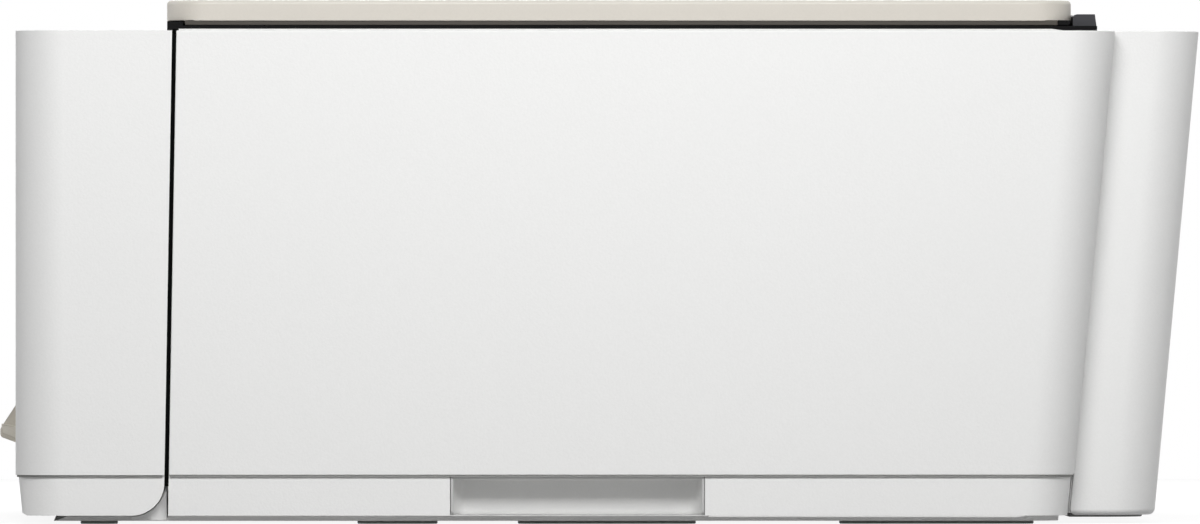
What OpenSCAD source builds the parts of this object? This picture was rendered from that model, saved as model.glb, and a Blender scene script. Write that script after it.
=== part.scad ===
// Compact all-in-one inkjet printer: flatbed scanner on top, drop-front door with a
// touch panel, paper cassette below, C-shaped paper path round the removable rear cover.
// +X is the user's right, -Y the front, +Z up. The origin is the bottom centre.

/* [Case] */
// Overall width of the case
case_w = 432; // [428:1:440]
// Overall depth, from the cassette's pull to the rear cover
overall_d = 365.6; // [362:0.2:370]
// Height of the case's flat top above the table
case_top = 149.7; // [149:0.1:154]
// Height of the shadow line between the walls and the plinth
plinth_top = 14.9; // [14:0.1:15.4]
// Wall thickness of the case mouldings
wall = 2.4; // [2:0.1:2.6]
// Radius of the upright corners in plan
corner_r = 14.5; // [10:0.5:16]
// Lean of the rear faces, in degrees
rear_tilt = 5.25; // [4.5:0.05:5.6]
// Lean of the seam between the door and the housing, in degrees
seam_tilt = 0.98; // [0.4:0.02:1.2]
// Gap between the door and the housing
seam_gap = 1.3; // [1:0.1:1.8]
// How far the plinth stands back from the walls above it
plinth_inset = 0.9; // [0.6:0.1:1.2]
// Thickness of the base pan's floor
floor_t = 2; // [1.6:0.1:2.4]
// Height of the rubber feet below the floor
foot_h = 1; // [0.8:0.1:1.4]
// Length of the finger grip in each side of the plinth
grip_l = 77.3; // [60:1:90]
// Depth of the finger grip
grip_d = 12; // [8:0.5:13]

/* [Front door] */
// Depth of the door, from its face to the seam at the top
door_d = 47.5; // [46:0.5:49]
// Clear width of the paper mouth
mouth_w = 232; // [231:1:240]
// Clear height of the paper mouth
mouth_h = 73; // [68:1:76]
// Lean of the door's toe band, back towards its lower edge, in degrees
toe_tilt = 6; // [4:0.1:7]
// Radius of the swing relief at the door's lower rear corner
relief_r = 10; // [8:0.5:10.5]
// Radius of the door's hinge pins
door_pin_r = 2.5; // [2:0.1:3]
// Width of the touch panel
panel_w = 74; // [66:1:78]
// Height of the touch panel
panel_h = 50; // [42:1:52]
// Radius of the power button
button_r = 4.5; // [3.5:0.1:5.5]

/* [Rear cover] */
// Depth of the rear bulge behind the housing
bump_d = 26.3; // [24:0.1:28]
// Width of the removable rear cover, the middle of the bulge
bump_w = 300; // [296:1:306]
// Width of the whole bulge, with the housing's fixed shoulder on each side of the cover
rear_w = 396; // [392:1:400]

/* [Scanner and lid] */
// Width of the scanner's top frame
scan_w = 412; // [408:1:416]
// Clear length of the document window, along the width of the case
window_l = 301; // [298:1:306]
// Clear width of the document window
window_w = 221; // [218:1:224]
// Thickness of the document glass
glass_t = 2.6; // [2:0.1:3]
// Thickness of the lid
lid_t = 6.3; // [6:0.1:8]
// Radius of the lid's corners in plan
lid_corner_r = 11; // [8:0.5:14]

/* [Paper] */
// Width of the widest sheet
paper_w = 216; // [210:1:216]
// Length of the cassette's longest sheet
paper_l = 297; // [290:1:298]
// Height of the print plane above the table
print_z = 70; // [69:0.5:71]
// Radius of the feed roller
feed_r = 7; // [6.5:0.1:7.4]
// Radius of the exit roller
exit_r = 5; // [4.6:0.1:5.3]
// Radius of the paper turn's inner drum
drum_r = 19; // [18:0.1:19.4]
// Radius of the pick roller
pick_r = 9; // [8:0.1:9.2]

/* [Print carriage] */
// Width of one ink cartridge
cartridge_w = 33.4; // [32:0.1:34]
// Radius of the carriage's guide rod
rod_r = 4; // [3.5:0.1:4.5]
// Radius of the belt pulleys
pulley_r = 6; // [5.5:0.1:6.2]
// Running clearance, on the radius, of shafts in their bores
run_gap = 0.05; // [0.03:0.01:0.08]

/* [Gears] */
// Module of the gear teeth
gear_m = 1; // [0.98:0.01:1.02]
// Teeth on the feed gear
feed_teeth = 30; // [30:1:31]
// Teeth on the exit gear
exit_teeth = 20; // [19:1:20]
// Teeth on the transfer gear between them
transfer_teeth = 24; // [24:1:25]
// Teeth on the motor pinion
pinion_teeth = 12; // [12:1:13]
// Teeth on the cassette's guide pinion
guide_teeth = 14; // [12:2:16]

/* [Hidden] */
$fn = 48;
eps = 0.01;
white = [0.93, 0.93, 0.92];
beige = [0.85, 0.82, 0.77];
black = [0.05, 0.05, 0.055];
graphite = [0.22, 0.22, 0.24];
grey = [0.5, 0.5, 0.52];
steel = [0.7, 0.71, 0.72];

half_w = case_w / 2;
lip_reach = 5.4;
lip_y = -overall_d / 2;
face_y = lip_y + lip_reach;
door_rear_y = face_y + door_d;
seam_y = door_rear_y + seam_gap;
bump_rear_y = overall_d / 2;
case_rear_y = bump_rear_y - bump_d;
floor_z = foot_h;
inside_z = floor_z + floor_t;
plinth_z = floor_z + 1.6;

// Hinge axis of the door, close behind its face and low enough to swing clear of the table
door_axis = [face_y + 9.4, plinth_top - 1.4];
toe_r = door_axis[1] - foot_h - 0.1;
lug_x = [half_w - 66, half_w - 62];
door_z0 = plinth_z;
mouth_z = [plinth_top, plinth_top + mouth_h];
liner_t = 2.2;
liner_y = face_y + door_d - 7.5;
panel_x = -half_w + 56;
panel_z = (mouth_z[1] + case_top) / 2;
panel_depth = 5;
button_x = panel_x + panel_w / 2 + 19;

// Scanner stack
scan_z = case_top - 28.7;
flange_z = case_top + 0.5;
flange_top = flange_z + 1;
scan_front_y = door_rear_y - 1.5;
scan_rear_y = case_rear_y - 5.5;
glass_top = flange_z;
lid_z = flange_top + 1.5;
lid_y0 = scan_front_y;
lid_y1 = scan_rear_y - 7.6;
lid_w = scan_w;
lid_axis = [lid_y1 + 4.1, flange_top + 2];
knuckle_r = 1.8;
hinge_pin_r = 1;
hinge_arm = 5;
hinge_x = scan_w / 2 - 56;
hinge_xs = [-hinge_x, hinge_x];
window_y = (lid_y0 + lid_y1) / 2;

// Cassette
tray_w = paper_w + 10;
tray_z = plinth_top + 0.7;
tray_skin = 1.2;
rack_z = tray_z + tray_skin + 0.3;
rack_t = 2.2;
sheet_floor_z = rack_z + rack_t + 0.3;
sheet_floor_t = 1.4;
sheet_z = sheet_floor_z + sheet_floor_t;
tray_wall = 2;
tray_h = 22;
tray_y0 = face_y + 3.6;
tray_y1 = tray_y0 + paper_l + 12;
ramp_top = tray_z + 13.4;
pinion_y = -20;
fence_gap = 1;
fence_t = 1.6;
rack_r = gear_m * guide_teeth / 2;
rack_back = 6;

// Paper turn and rollers
turn_y = tray_y1 + 9;
turn_z = print_z - drum_r - 0.5;
feed_axis = [22, print_z - feed_r];
exit_axis = [-22, print_z - exit_r];
pinch_r = 3.5;
pinch_axis = [feed_axis[0], print_z + pinch_r + 0.1];
roller_pitch = (paper_w - 36) / 5;
roller_xs = [for (i = [-2.5:1:2.5]) i * roller_pitch];
roller_l = 20;
pick_pivot = [62, 52];
pick_axis = [88, ramp_top + 1 + pick_r];
drum_w = paper_w - 8;

// Steel side frames
frame_x = half_w - 16;
frame_t = 2.5;
frame_y = [-66, 66];
tab_l = 12;

// Gear train at the left end of the rollers; addendum and dedendum are multiples of the module
gear_x = 10 - frame_x;
gear_t = 6;
pressure = 25;
backlash = 0.24;
addendum = 0.85;
dedendum = 1.2;

// Carriage, parked beside the right side frame
rod_axis = [28, print_z + 28];
bay_w = cartridge_w + 0.6;
bay_pitch = bay_w + 2.6;
carriage_w = 2 * bay_pitch + 2.6;
carriage_x = frame_x - frame_t - 1.6 - carriage_w / 2;
nozzle_z = print_z + 1.4;
carriage_z = print_z + 9.5;
carriage_top = scan_z - 6;
carriage_y0 = -60;
belt_y = [40.2, 45.8];
belt_z = print_z + 36;
belt_t = 1.2;
pulley_x = frame_x - 14;
beam_y = 50;
beam_t = 1.6;
beam_z = print_z + 6;

// Output side
out_z = tray_z + tray_h + 6.5;
out_t = 2.4;
out_w = tray_w - 4;
out_y0 = face_y + 3.4;
out_y1 = -30;
ext_z = out_z - 2.6;
ext_t = 2.2;
ext_w = 90;

// Scan head
head_x = -150;
head_w = 20;
head_y = window_y;
scan_rack_m = 0.8;
scan_teeth = 14;
scan_gear_r = scan_rack_m * scan_teeth / 2;
scan_rail_y = head_y + 20;
scan_rack_z = scan_z + 3.2;

// ---- Shared shapes ----

// Box between two corners
module box_between(a, b) {
    translate(a) cube(b - a);
}

// Rectangle between two corners with corner radius r
module round_rect(a, b, r) {
    translate([a[0] + r, a[1]]) square([b[0] - a[0] - 2 * r, b[1] - a[1]]);
    translate([a[0], a[1] + r]) square([b[0] - a[0], b[1] - a[1] - 2 * r]);
    for (x = [a[0] + r, b[0] - r], y = [a[1] + r, b[1] - r])
        translate([x, y]) circle(r);
}

// A flat outline drawn in X and Z, made solid from y0 to y1
module along_y(y0, y1) {
    translate([0, y1, 0]) rotate([90, 0, 0]) linear_extrude(y1 - y0) children();
}

// A flat outline drawn in Y and Z, made solid from x0 to x1
module along_x(x0, x1) {
    translate([x0, 0, 0]) rotate([90, 0, 90]) linear_extrude(x1 - x0) children();
}

// Round bars along each axis; yz, xz and xy give the axis line
module bar_x(x0, x1, yz, r) {
    translate([x0, yz[0], yz[1]]) rotate([0, 90, 0]) cylinder(r = r, h = x1 - x0);
}
module bar_y(y0, y1, xz, r) {
    translate([xz[0], y0, xz[1]]) rotate([-90, 0, 0]) cylinder(r = r, h = y1 - y0);
}
module bar_z(z0, z1, xy, r) {
    translate([xy[0], xy[1], z0]) cylinder(r = r, h = z1 - z0);
}

// Both sides of the centre plane
module both_sides() {
    children();
    mirror([1, 0, 0]) children();
}

// Lean about a line across the case's top at depth y
module leaned(y, angle) {
    translate([0, y, case_top]) rotate([-angle, 0, 0]) children();
}

// Height layer across the whole machine
module layer(z0, z1) {
    box_between([-case_w, -overall_d, z0], [case_w, overall_d, z1]);
}

// Upright block of the case's outline, open-ended to the front, stood back by inset
module case_prism(inset) {
    leaned(case_rear_y, rear_tilt) translate([0, 0, -2 * case_top]) linear_extrude(3 * case_top)
        round_rect([-half_w + inset, -2 * overall_d], [half_w - inset, -inset], corner_r - inset);
}

// Everything behind the seam, and everything in front of it
module behind_seam() {
    leaned(seam_y, seam_tilt) translate([-case_w, 0, -2 * case_top])
        cube([2 * case_w, 2 * overall_d, 3 * case_top]);
}
module before_seam() {
    leaned(door_rear_y, seam_tilt) translate([-case_w, -2 * door_d, -2 * case_top])
        cube([2 * case_w, 2 * door_d, 3 * case_top]);
}

function case_rear_at(z) = case_rear_y - (case_top - z) * tan(rear_tilt);

// Holes for the screws that hold the side frames down to the pan
screw_r = 1.4;
screw_xs = [-frame_x + tab_l / 2, frame_x - tab_l / 2];
screw_ys = [frame_y[0] + tab_l / 2, frame_y[1] - tab_l / 2];
module case_screw_holes() {
    for (x = screw_xs, y = screw_ys) bar_z(floor_z + 0.4, inside_z + frame_t + 1, [x, y], screw_r);
}

// ---- Gears ----

function polar(r, a) = [r * cos(a), r * sin(a)];
function involute(a) = tan(a) * 180 / PI - a;

// Half the angle that a tooth of an n-tooth gear spans at radius r
function tooth_half(n, m, r) = let(rp = n * m / 2, rb = rp * cos(pressure))
    90 / n - backlash / 2 / rp * 90 / PI + involute(pressure) - involute(acos(min(1, rb / r)));

// Outline of an n-tooth gear of module m, with a tooth centred on angle 0
function gear_outline(n, m, flank_steps = 4) =
    let(rp = n * m / 2, ra = rp + addendum * m, rr = rp - dedendum * m,
        r0 = max(rr, rp * cos(pressure)),
        rs = [for (i = [0:flank_steps]) r0 + (ra - r0) * i / flank_steps])
    [for (k = [0:n - 1]) let(a = k * 360 / n) each concat(
        [polar(rr, a - tooth_half(n, m, r0))],
        [for (r = rs) polar(r, a - tooth_half(n, m, r))],
        [for (i = [flank_steps:-1:0]) polar(rs[i], a + tooth_half(n, m, rs[i]))],
        [polar(rr, a + tooth_half(n, m, r0))])];

// Turn of a gear of nb teeth so that it meshes with one of na teeth, turned by turn_a,
// from which it lies in direction
function mesh_turn(direction, turn_a, na, nb) =
    let(k = round((direction - turn_a) * na / 360))
    direction + 180 - (k * 360 / na + turn_a - direction) * na / nb - 180 / nb;

// Rack outline along X, pitch line at y = 0, teeth towards -Y, a gap centred on x = 0
function rack_outline(first, last, m, back) =
    let(p = PI * m, half = p / 4 - backlash / 4, add = addendum * m, ded = dedendum * m,
        slope = tan(pressure))
    concat([[first * p, back], [first * p, ded]],
        [for (k = [first:last - 1], s = [[-1, ded], [-1, -add], [1, -add], [1, ded]])
            [(k + 0.5) * p + s[0] * (half + s[1] * slope), s[1]]],
        [[last * p, ded], [last * p, back]]);

// Spur gear on an axis along X
module gear_x_axis(yz, teeth, turn, bore, x0, thickness) {
    difference() {
        translate([x0, yz[0], yz[1]]) rotate([90, 0, 90]) rotate(turn)
            linear_extrude(thickness) polygon(gear_outline(teeth, gear_m));
        bar_x(x0 - 1, x0 + thickness + 1, yz, bore);
    }
}

// ---- Case ----

// Outline of the door in plan, stood back by inset
module door_prism(inset, z0, z1) {
    translate([0, 0, z0]) linear_extrude(z1 - z0)
        round_rect([-half_w + inset, face_y + inset], [half_w - inset, overall_d], corner_r - inset);
}

// Everything behind the leaning face of the door's toe band
module behind_toe_face() {
    translate([0, face_y + plinth_inset, plinth_top]) rotate([toe_tilt, 0, 0])
        translate([-case_w, 0, -case_top]) cube([2 * case_w, overall_d, 2 * case_top]);
}

// Space swept by the door's toe as it swings about its hinge, with some room
module toe_sweep(room) {
    bar_x(-case_w, case_w, door_axis, toe_r + room);
}

// Finger grip in one side of the plinth
module grip_space(grow) {
    depth = grip_d + grow;
    box_between([half_w - depth, -grip_l / 2 - 7 - grow, plinth_z + 0.2 - grow],
        [half_w + 1, grip_l / 2 - 7 + grow, plinth_top - 0.2 + grow]);
}

module base_pan() {
    runner_w = 7;
    outer = plinth_inset;
    inner = plinth_inset + wall;
    toe = 2.6;
    lug_r = 5;
    color(white) {
        difference() {
            union() {
                intersection() {
                    case_prism(outer);
                    behind_seam();
                    layer(plinth_z - eps, plinth_top);
                }
                intersection() {
                    case_prism(outer + toe);
                    behind_seam();
                    layer(floor_z, plinth_z);
                }
                difference() {
                    box_between([-half_w + 6, door_axis[1] - 200, floor_z],
                        [half_w - 6, seam_y + 4, plinth_z - 0.2]);
                    toe_sweep(0.3);
                    box_between([-case_w, -overall_d, 0], [case_w, door_axis[0], plinth_z]);
                }
            }
            difference() {
                intersection() {
                    case_prism(inner);
                    translate([0, wall, 0]) behind_seam();
                    layer(inside_z, plinth_top + 1);
                }
                both_sides() grip_space(wall);
            }
            both_sides() grip_space(0);
            case_screw_holes();
        }
        both_sides() difference() {
            union() {
                bar_x(lug_x[0], lug_x[1], door_axis, lug_r);
                along_x(lug_x[0], lug_x[1]) translate(door_axis)
                    polygon([[0, lug_r], [12, lug_r], [24, plinth_z - 0.2 - door_axis[1]],
                        [10, plinth_z - 0.2 - door_axis[1]], [3.5, -3.6]]);
            }
            bar_x(lug_x[0] - 1, lug_x[1] + 1, door_axis, door_pin_r + run_gap);
        }
        both_sides() box_between([chassis_x[0] - runner_w, front_wall_y[0], inside_z - eps],
            [chassis_x[0] - 0.2, tray_y1 - 4, tray_z - 0.2]);
    }
}

bump_r = 13.7;
cover_gap = 0.5;

// Upright leaning block of the rear bulge's outline, stood back by inset
module bulge_prism(inset, z0, z1) {
    intersection() {
        leaned(bump_rear_y, rear_tilt) translate([0, 0, -2 * case_top]) linear_extrude(3 * case_top)
            round_rect([-rear_w / 2 + inset, -overall_d], [rear_w / 2 - inset, -inset], bump_r - inset);
        layer(z0, z1);
    }
}

// Middle of the data socket, and of the power inlet on the other side
port_x = half_w - 47;

// Bay in a shoulder that leads a plug to its socket
module port_bay(grow) {
    box_between([port_x - 15 - grow, 0, 22 - grow], [port_x + 15 + grow, overall_d, 50 + grow]);
}

module main_housing() {
    shoulder_x = bump_w / 2 + cover_gap;
    color(white) difference() {
        union() {
            difference() {
                union() {
                    intersection() {
                        case_prism(0);
                        behind_seam();
                        layer(plinth_top, case_top);
                    }
                    both_sides() difference() {
                        intersection() {
                            bulge_prism(0, plinth_z, case_top);
                            box_between([shoulder_x, 0, 0], [half_w, overall_d, case_top]);
                        }
                        intersection() {
                            case_prism(0);
                            layer(0, plinth_top);
                        }
                    }
                }
                intersection() {
                    case_prism(wall);
                    layer(plinth_top - 1, case_top - wall);
                }
                both_sides() difference() {
                    intersection() {
                        bulge_prism(wall, plinth_z + wall, case_top - wall);
                        box_between([shoulder_x + wall, 0, 0], [half_w, overall_d, case_top]);
                    }
                    intersection() {
                        case_prism(-wall);
                        layer(0, plinth_top + wall);
                    }
                }
            }
            both_sides() difference() {
                intersection() {
                    port_bay(wall);
                    bulge_prism(0, plinth_z, case_top);
                }
                case_prism(wall);
            }
        }
        both_sides() port_bay(0);
        box_between([-scan_w / 2 - 0.4, -overall_d, case_top - 10],
            [scan_w / 2 + 0.4, scan_rear_y + 0.4, case_top + 1]);
        box_between([-bump_w / 2 + 5, 0, plinth_top - 1], [bump_w / 2 - 5, overall_d, scan_z - 4]);
    }
}

// Feet along each side: centre depth and length
feet = [[-152, 11.3], [-61.4, 24.3], [2.2, 54], [102.4, 59]];

module rubber_feet() {
    color(black) both_sides() for (foot = feet) {
        translate([half_w - 24, foot[0] - foot[1] / 2, 0]) linear_extrude(floor_z)
            round_rect([0, 0], [12, foot[1]], 4);
    }
}

// ---- Chassis ----

chassis_x = [tray_w / 2 + 1.5, tray_w / 2 + 5];
front_wall_y = [seam_y + 2.5, seam_y + 5];
shaft_r = 3;

module inner_frame() {
    wall_end = half_w - plinth_inset - wall - 0.1;
    wall_top = print_z - 4;
    boss_r = 7;
    star_y = [exit_axis[0] - 9, exit_axis[0] - 5];
    color(graphite) difference() {
        union() {
            both_sides() {
                box_between([chassis_x[0], front_wall_y[0], inside_z],
                    [chassis_x[1], case_rear_at(inside_z) - 7, 48]);
                box_between([chassis_x[0], exit_axis[0] - 12, inside_z],
                    [chassis_x[1], turn_y - 12, wall_top]);
                box_between([chassis_x[0], star_y[0], inside_z],
                    [chassis_x[1], exit_axis[0] + boss_r, print_z + 8.6]);
                bar_x(chassis_x[0], chassis_x[1], feed_axis, boss_r);
                box_between([chassis_x[0], front_wall_y[0], inside_z],
                    [wall_end, front_wall_y[1], scan_z - 3]);
            }
            box_between([-wall_end, front_wall_y[0], scan_z - 8], [wall_end, front_wall_y[1], scan_z - 3]);
            box_between([-chassis_x[1], star_y[0], print_z + 5], [chassis_x[1], star_y[1], print_z + 8.6]);
            for (x = roller_xs, dx = [-4.4, 2.4])
                box_between([x + dx, star_y[1] - eps, print_z + 1.2],
                    [x + dx + 2, star_axis[0] + 2.4, print_z + 8.6]);
        }
        bar_x(-chassis_x[1] - 1, chassis_x[1] + 1, feed_axis, shaft_r + run_gap);
        bar_x(-chassis_x[1] - 1, chassis_x[1] + 1, exit_axis, shaft_r + run_gap);
        bar_x(-chassis_x[1] - 1, chassis_x[1] + 1, pick_pivot, shaft_r + run_gap);
        bar_x(-chassis_x[1] - 1, chassis_x[1] + 1, star_axis, 0.8 + run_gap);
    }
}

star_r = 3;
star_axis = [exit_axis[0], print_z + star_r + 0.15];

module side_frames() {
    color(steel) both_sides() difference() {
        union() {
            box_between([frame_x - frame_t, frame_y[0], inside_z], [frame_x, frame_y[1], scan_z]);
            for (y = [frame_y[0], frame_y[1] - tab_l])
                box_between([frame_x - tab_l, y, inside_z], [frame_x, y + tab_l, inside_z + frame_t]);
        }
        case_screw_holes();
        bar_x(frame_x - 20, frame_x + 1, transfer_axis, 2 + run_gap);
        bar_x(frame_x - 20, frame_x + 1, rod_axis, rod_r);
        bar_x(frame_x - 20, frame_x + 1, feed_axis, shaft_r + run_gap);
        bar_x(frame_x - 20, frame_x + 1, exit_axis, shaft_r + run_gap);
    }
}

module carriage_beam() {
    x1 = frame_x - frame_t;
    z1 = scan_z - 3;
    color(steel) difference() {
        union() {
            box_between([-x1, beam_y, beam_z], [x1, beam_y + beam_t, z1]);
            box_between([-x1, beam_y, z1 - beam_t], [x1, beam_y + 10, z1]);
            box_between([-x1, beam_y, beam_z], [x1, beam_y + 8, beam_z + beam_t]);
        }
        for (x = [-pulley_x, pulley_x])
            bar_y(beam_y - 1, beam_y + 12, [x, belt_z], pulley_shaft_r + run_gap);
        for (x = [-150:30:150])
            bar_y(beam_y - 1, beam_y + 2, [x, belt_z - 16], 6);
    }
}

module carriage_rod() {
    color(steel) bar_x(-frame_x - 1.5, frame_x + 1.5, rod_axis, rod_r);
}

module platen() {
    half = chassis_x[0];
    rib_pitch = (paper_w - 12) / 17;
    rib_xs = [for (i = [-8.5:1:8.5]) i * rib_pitch];
    color(black) {
        difference() {
            box_between([-half, exit_axis[0] + exit_r + 2.4, print_z - 12],
                [half, feed_axis[0] - feed_r - 2.4, print_z - 2.6]);
            box_between([-half + 3, exit_axis[0] + exit_r + 4.4, print_z - 13],
                [half - 3, feed_axis[0] - feed_r - 4.4, print_z - 4.6]);
            box_between([-half + 10, -5, print_z - 6], [half - 10, 1, print_z]);
        }
        for (x = rib_xs) {
            box_between([x - 0.6, exit_axis[0] + exit_r + 2.4, print_z - 3], [x + 0.6, -6, print_z - 0.6]);
            box_between([x - 0.6, 2, print_z - 3], [x + 0.6, feed_axis[0] - feed_r - 2.4, print_z - 0.6]);
        }
        box_between([-half, feed_axis[0] + feed_r + 1.6, print_z - 3], [half, turn_y - 17, print_z - 0.6]);
        both_sides() box_between([half - 2, feed_axis[0] + feed_r + 1.6, print_z - 12],
            [half, turn_y - 20, print_z - 3 + eps]);
    }
}

module turn_guide() {
    drum = [turn_y, turn_z];
    color(black) {
        difference() {
            union() {
                bar_x(-drum_w / 2, drum_w / 2, drum, drum_r);
                box_between([-drum_w / 2, turn_y - 14, turn_z - 8], [drum_w / 2, turn_y, turn_z + 8]);
            }
            bar_x(-drum_w / 2 - 1, drum_w / 2 + 1, drum, drum_r - wall);
            box_between([-drum_w, turn_y - 40, turn_z - 30], [drum_w, turn_y - 14, turn_z + 30]);
        }
        for (x = [-drum_w / 2 : drum_w / 8 : drum_w / 2])
            intersection() {
                bar_x(x - 1, x + 1, drum, drum_r - 1);
                box_between([-drum_w, turn_y - 14, turn_z - 30], [drum_w, turn_y + 30, turn_z + 30]);
            }
        both_sides() box_between([drum_w / 2 - 1, turn_y - 20, turn_z - 12],
            [chassis_x[0], turn_y - 13, turn_z - 3]);
    }
}

module pinch_frame() {
    top = [print_z + 7.2, print_z + 8.8];
    color(graphite) difference() {
        union() {
            box_between([-chassis_x[0], pinch_axis[0] + 5.5, top[0]], [chassis_x[0], beam_y, top[1]]);
            for (x = roller_xs, side = [-1, 1]) {
                inner = x + side * (roller_l / 2 - 2);
                box_between([inner + side * 4 - 1, pinch_axis[0] - 2.4, print_z + 1.6],
                    [inner + side * 4 + 1, pinch_axis[0] + 6, top[1]]);
            }
        }
        bar_x(-chassis_x[1], chassis_x[1], pinch_axis, 1.2 + run_gap);
    }
}

// ---- Stations and electrics ----

station_x = [chassis_x[1] + 3, frame_x - frame_t - 3];
station_y = [-52, 42];
station_top = print_z - 8;

module service_station() {
    color(graphite) difference() {
        box_between([station_x[0], station_y[0], inside_z], [station_x[1], station_y[1], station_top]);
        box_between([station_x[0] + wall, station_y[0] + wall, inside_z + wall],
            [station_x[1] - wall, station_y[1] - wall, station_top + 1]);
    }
    color([0.85, 0.85, 0.82])
        box_between([station_x[0] + wall, station_y[0] + wall, inside_z + wall],
            [station_x[1] - wall, station_y[1] - wall, inside_z + 26]);
}

module service_sled() {
    y0 = station_y[0] + 8;
    y1 = station_y[1] - 34;
    z = station_top + 0.3;
    color(black) {
        difference() {
            box_between([station_x[0] + 1, y0, z], [station_x[1] - 1, y1, z + 3]);
            box_between([station_x[0] + 8, y0 + 6, z - 1], [station_x[1] - 8, y0 + 14, z + 4]);
        }
        for (x = [station_x[0] + wall + 0.4, station_x[1] - wall - 2.4])
            box_between([x, y0, z - 5], [x + 2, y1, z + eps]);
    }
    color(graphite) for (i = [0, 1]) {
        x = carriage_x + (i - 0.5) * bay_pitch;
        difference() {
            box_between([x - 9, -14, z + 3 - eps], [x + 9, 7, nozzle_z - 0.6]);
            box_between([x - 7, -12, z + 4], [x + 7, 5, nozzle_z]);
        }
        box_between([x - 9, -22, z + 3 - eps], [x + 9, -20.8, nozzle_z - 0.4]);
    }
}

module main_board() {
    x = frame_x - 3;
    board_y = [frame_y[1] + 4, frame_y[1] + 72];
    board_z = [14, 88];
    jack_x = [port_x - 6, port_x + 6.4];
    jack_z = [33.6, 45.4];
    skin = 1;
    jack_rear = case_rear_at(40) - 0.6;
    color([0.08, 0.32, 0.16]) box_between([x, board_y[0], board_z[0]], [x + 1.6, board_y[1], board_z[1]]);
    color(black) {
        box_between([x - 2.2, board_y[0] + 14, board_z[0] + 30], [x + eps, board_y[0] + 36, board_z[0] + 52]);
        box_between([x - 1.6, board_y[0] + 42, board_z[0] + 46], [x + eps, board_y[0] + 54, board_z[0] + 56]);
        for (dz = [8, 20])
            box_between([x - 6, board_y[0] + 4, board_z[0] + dz],
                [x + eps, board_y[0] + 26, board_z[0] + dz + 5]);
    }
    color(steel) {
        difference() {
            union() {
                box_between([jack_x[0], board_y[1] - 10, jack_z[0]], [jack_x[1], jack_rear, jack_z[1]]);
                box_between([jack_x[1] - 0.4, board_y[1] - 10, jack_z[0]],
                    [x + eps, board_y[1] - 2, jack_z[1]]);
            }
            box_between([jack_x[0] + skin, board_y[1] - 2, jack_z[0] + skin],
                [jack_x[1] - skin, jack_rear + 1, jack_z[1] - skin]);
        }
        box_between([x - 8, board_y[0] + 4, board_z[0] + 58], [x + eps, board_y[0] + 16, board_z[0] + 68]);
    }
    color(grey) for (y = [board_y[0] + 6, board_y[1] - 18], z = [board_z[0] + 5, board_z[1] - 5])
        bar_x(x + 1.6 - eps, half_w - wall, [y, z], 3);
}

module power_supply() {
    x = [10 - half_w, -chassis_x[1] - 10];
    inlet_x = [1 - port_x - 12, 1 - port_x + 12];
    inlet_rear = case_rear_at(34) - 0.6;
    y = [frame_y[1] + 6, inlet_rear - 11.3];
    pins_y = [inlet_rear - 7.3, inlet_rear - 0.3];
    z = [25, 42];
    color(black) difference() {
        union() {
            box_between([x[0], y[0], inside_z], [x[1], y[1], 46]);
            box_between([inlet_x[0], y[1] - 4, z[0]], [inlet_x[1], inlet_rear, z[1]]);
        }
        box_between([inlet_x[0] + 2, inlet_rear - 6.3, z[0] + 4.5],
            [inlet_x[1] - 2, inlet_rear + 1, z[1] - 4.5]);
    }
    color(steel) for (dx = [-5, 5])
        bar_y(pins_y[0], pins_y[1], [(inlet_x[0] + inlet_x[1]) / 2 + dx, (z[0] + z[1]) / 2], 1.2);
}

pulley_shaft_r = 1.6;
feed_pinion_axis = feed_axis + polar(gear_m * (feed_teeth + pinion_teeth) / 2, -60);

module drive_motors() {
    motor_x = gear_x + gear_t + 4;
    color(steel) {
        difference() {
            bar_y(beam_y + beam_t, beam_y + beam_t + 30, [pulley_x, belt_z], 10);
            bar_y(beam_y, beam_y + 12, [pulley_x, belt_z], pulley_shaft_r + run_gap);
        }
        difference() {
            union() {
                bar_x(motor_x, motor_x + 34, feed_pinion_axis, 13);
                box_between([motor_x, feed_pinion_axis[0] - 10, inside_z],
                    [motor_x + 1.6, feed_pinion_axis[0] + 10, feed_pinion_axis[1]]);
                box_between([motor_x, feed_pinion_axis[0] - 10, inside_z],
                    [motor_x + 14, feed_pinion_axis[0] + 10, inside_z + 1.6]);
            }
            bar_x(motor_x - 1, motor_x + 12, feed_pinion_axis, pulley_shaft_r + run_gap);
        }
    }
}

// Loop of flat belt round the two pulleys
module belt_loop(r) {
    for (x = [-pulley_x, pulley_x]) translate([x, belt_z]) circle(r);
    translate([-pulley_x, belt_z - r]) square([2 * pulley_x, 2 * r]);
}

module drive_belt() {
    color(black) along_y(belt_y[0], belt_y[1]) difference() {
        belt_loop(pulley_r + belt_t + 0.1);
        belt_loop(pulley_r + 0.1);
    }
}

module pulley(x) {
    color(white) {
        bar_y(belt_y[0] + 0.2, belt_y[1] - 0.2, [x, belt_z], pulley_r);
        for (y = [belt_y[0] - 1.4, belt_y[1] + 0.4])
            bar_y(y, y + 1, [x, belt_z], pulley_r + 2);
        bar_y(belt_y[0] - 1.4, beam_y + beam_t + 8, [x, belt_z], pulley_shaft_r);
    }
}

module motor_pulley() {
    pulley(pulley_x);
}

module idler_pulley() {
    pulley(-pulley_x);
}

encoder_y = 38.4;

module encoder_strip() {
    x1 = frame_x - frame_t;
    color([0.75, 0.75, 0.72]) {
        box_between([-x1, encoder_y, print_z + 14], [x1, encoder_y + 0.2, print_z + 20]);
        both_sides() box_between([x1 - 3, encoder_y - 1, print_z + 13], [x1, encoder_y + 1.2, print_z + 21]);
    }
}

// ---- Output tray ----

stop_w = 44;
stop_l = 23;
stop_axis = [out_y0 + 3, ext_z + ext_t / 2];
stop_pin_r = 0.8;

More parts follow.
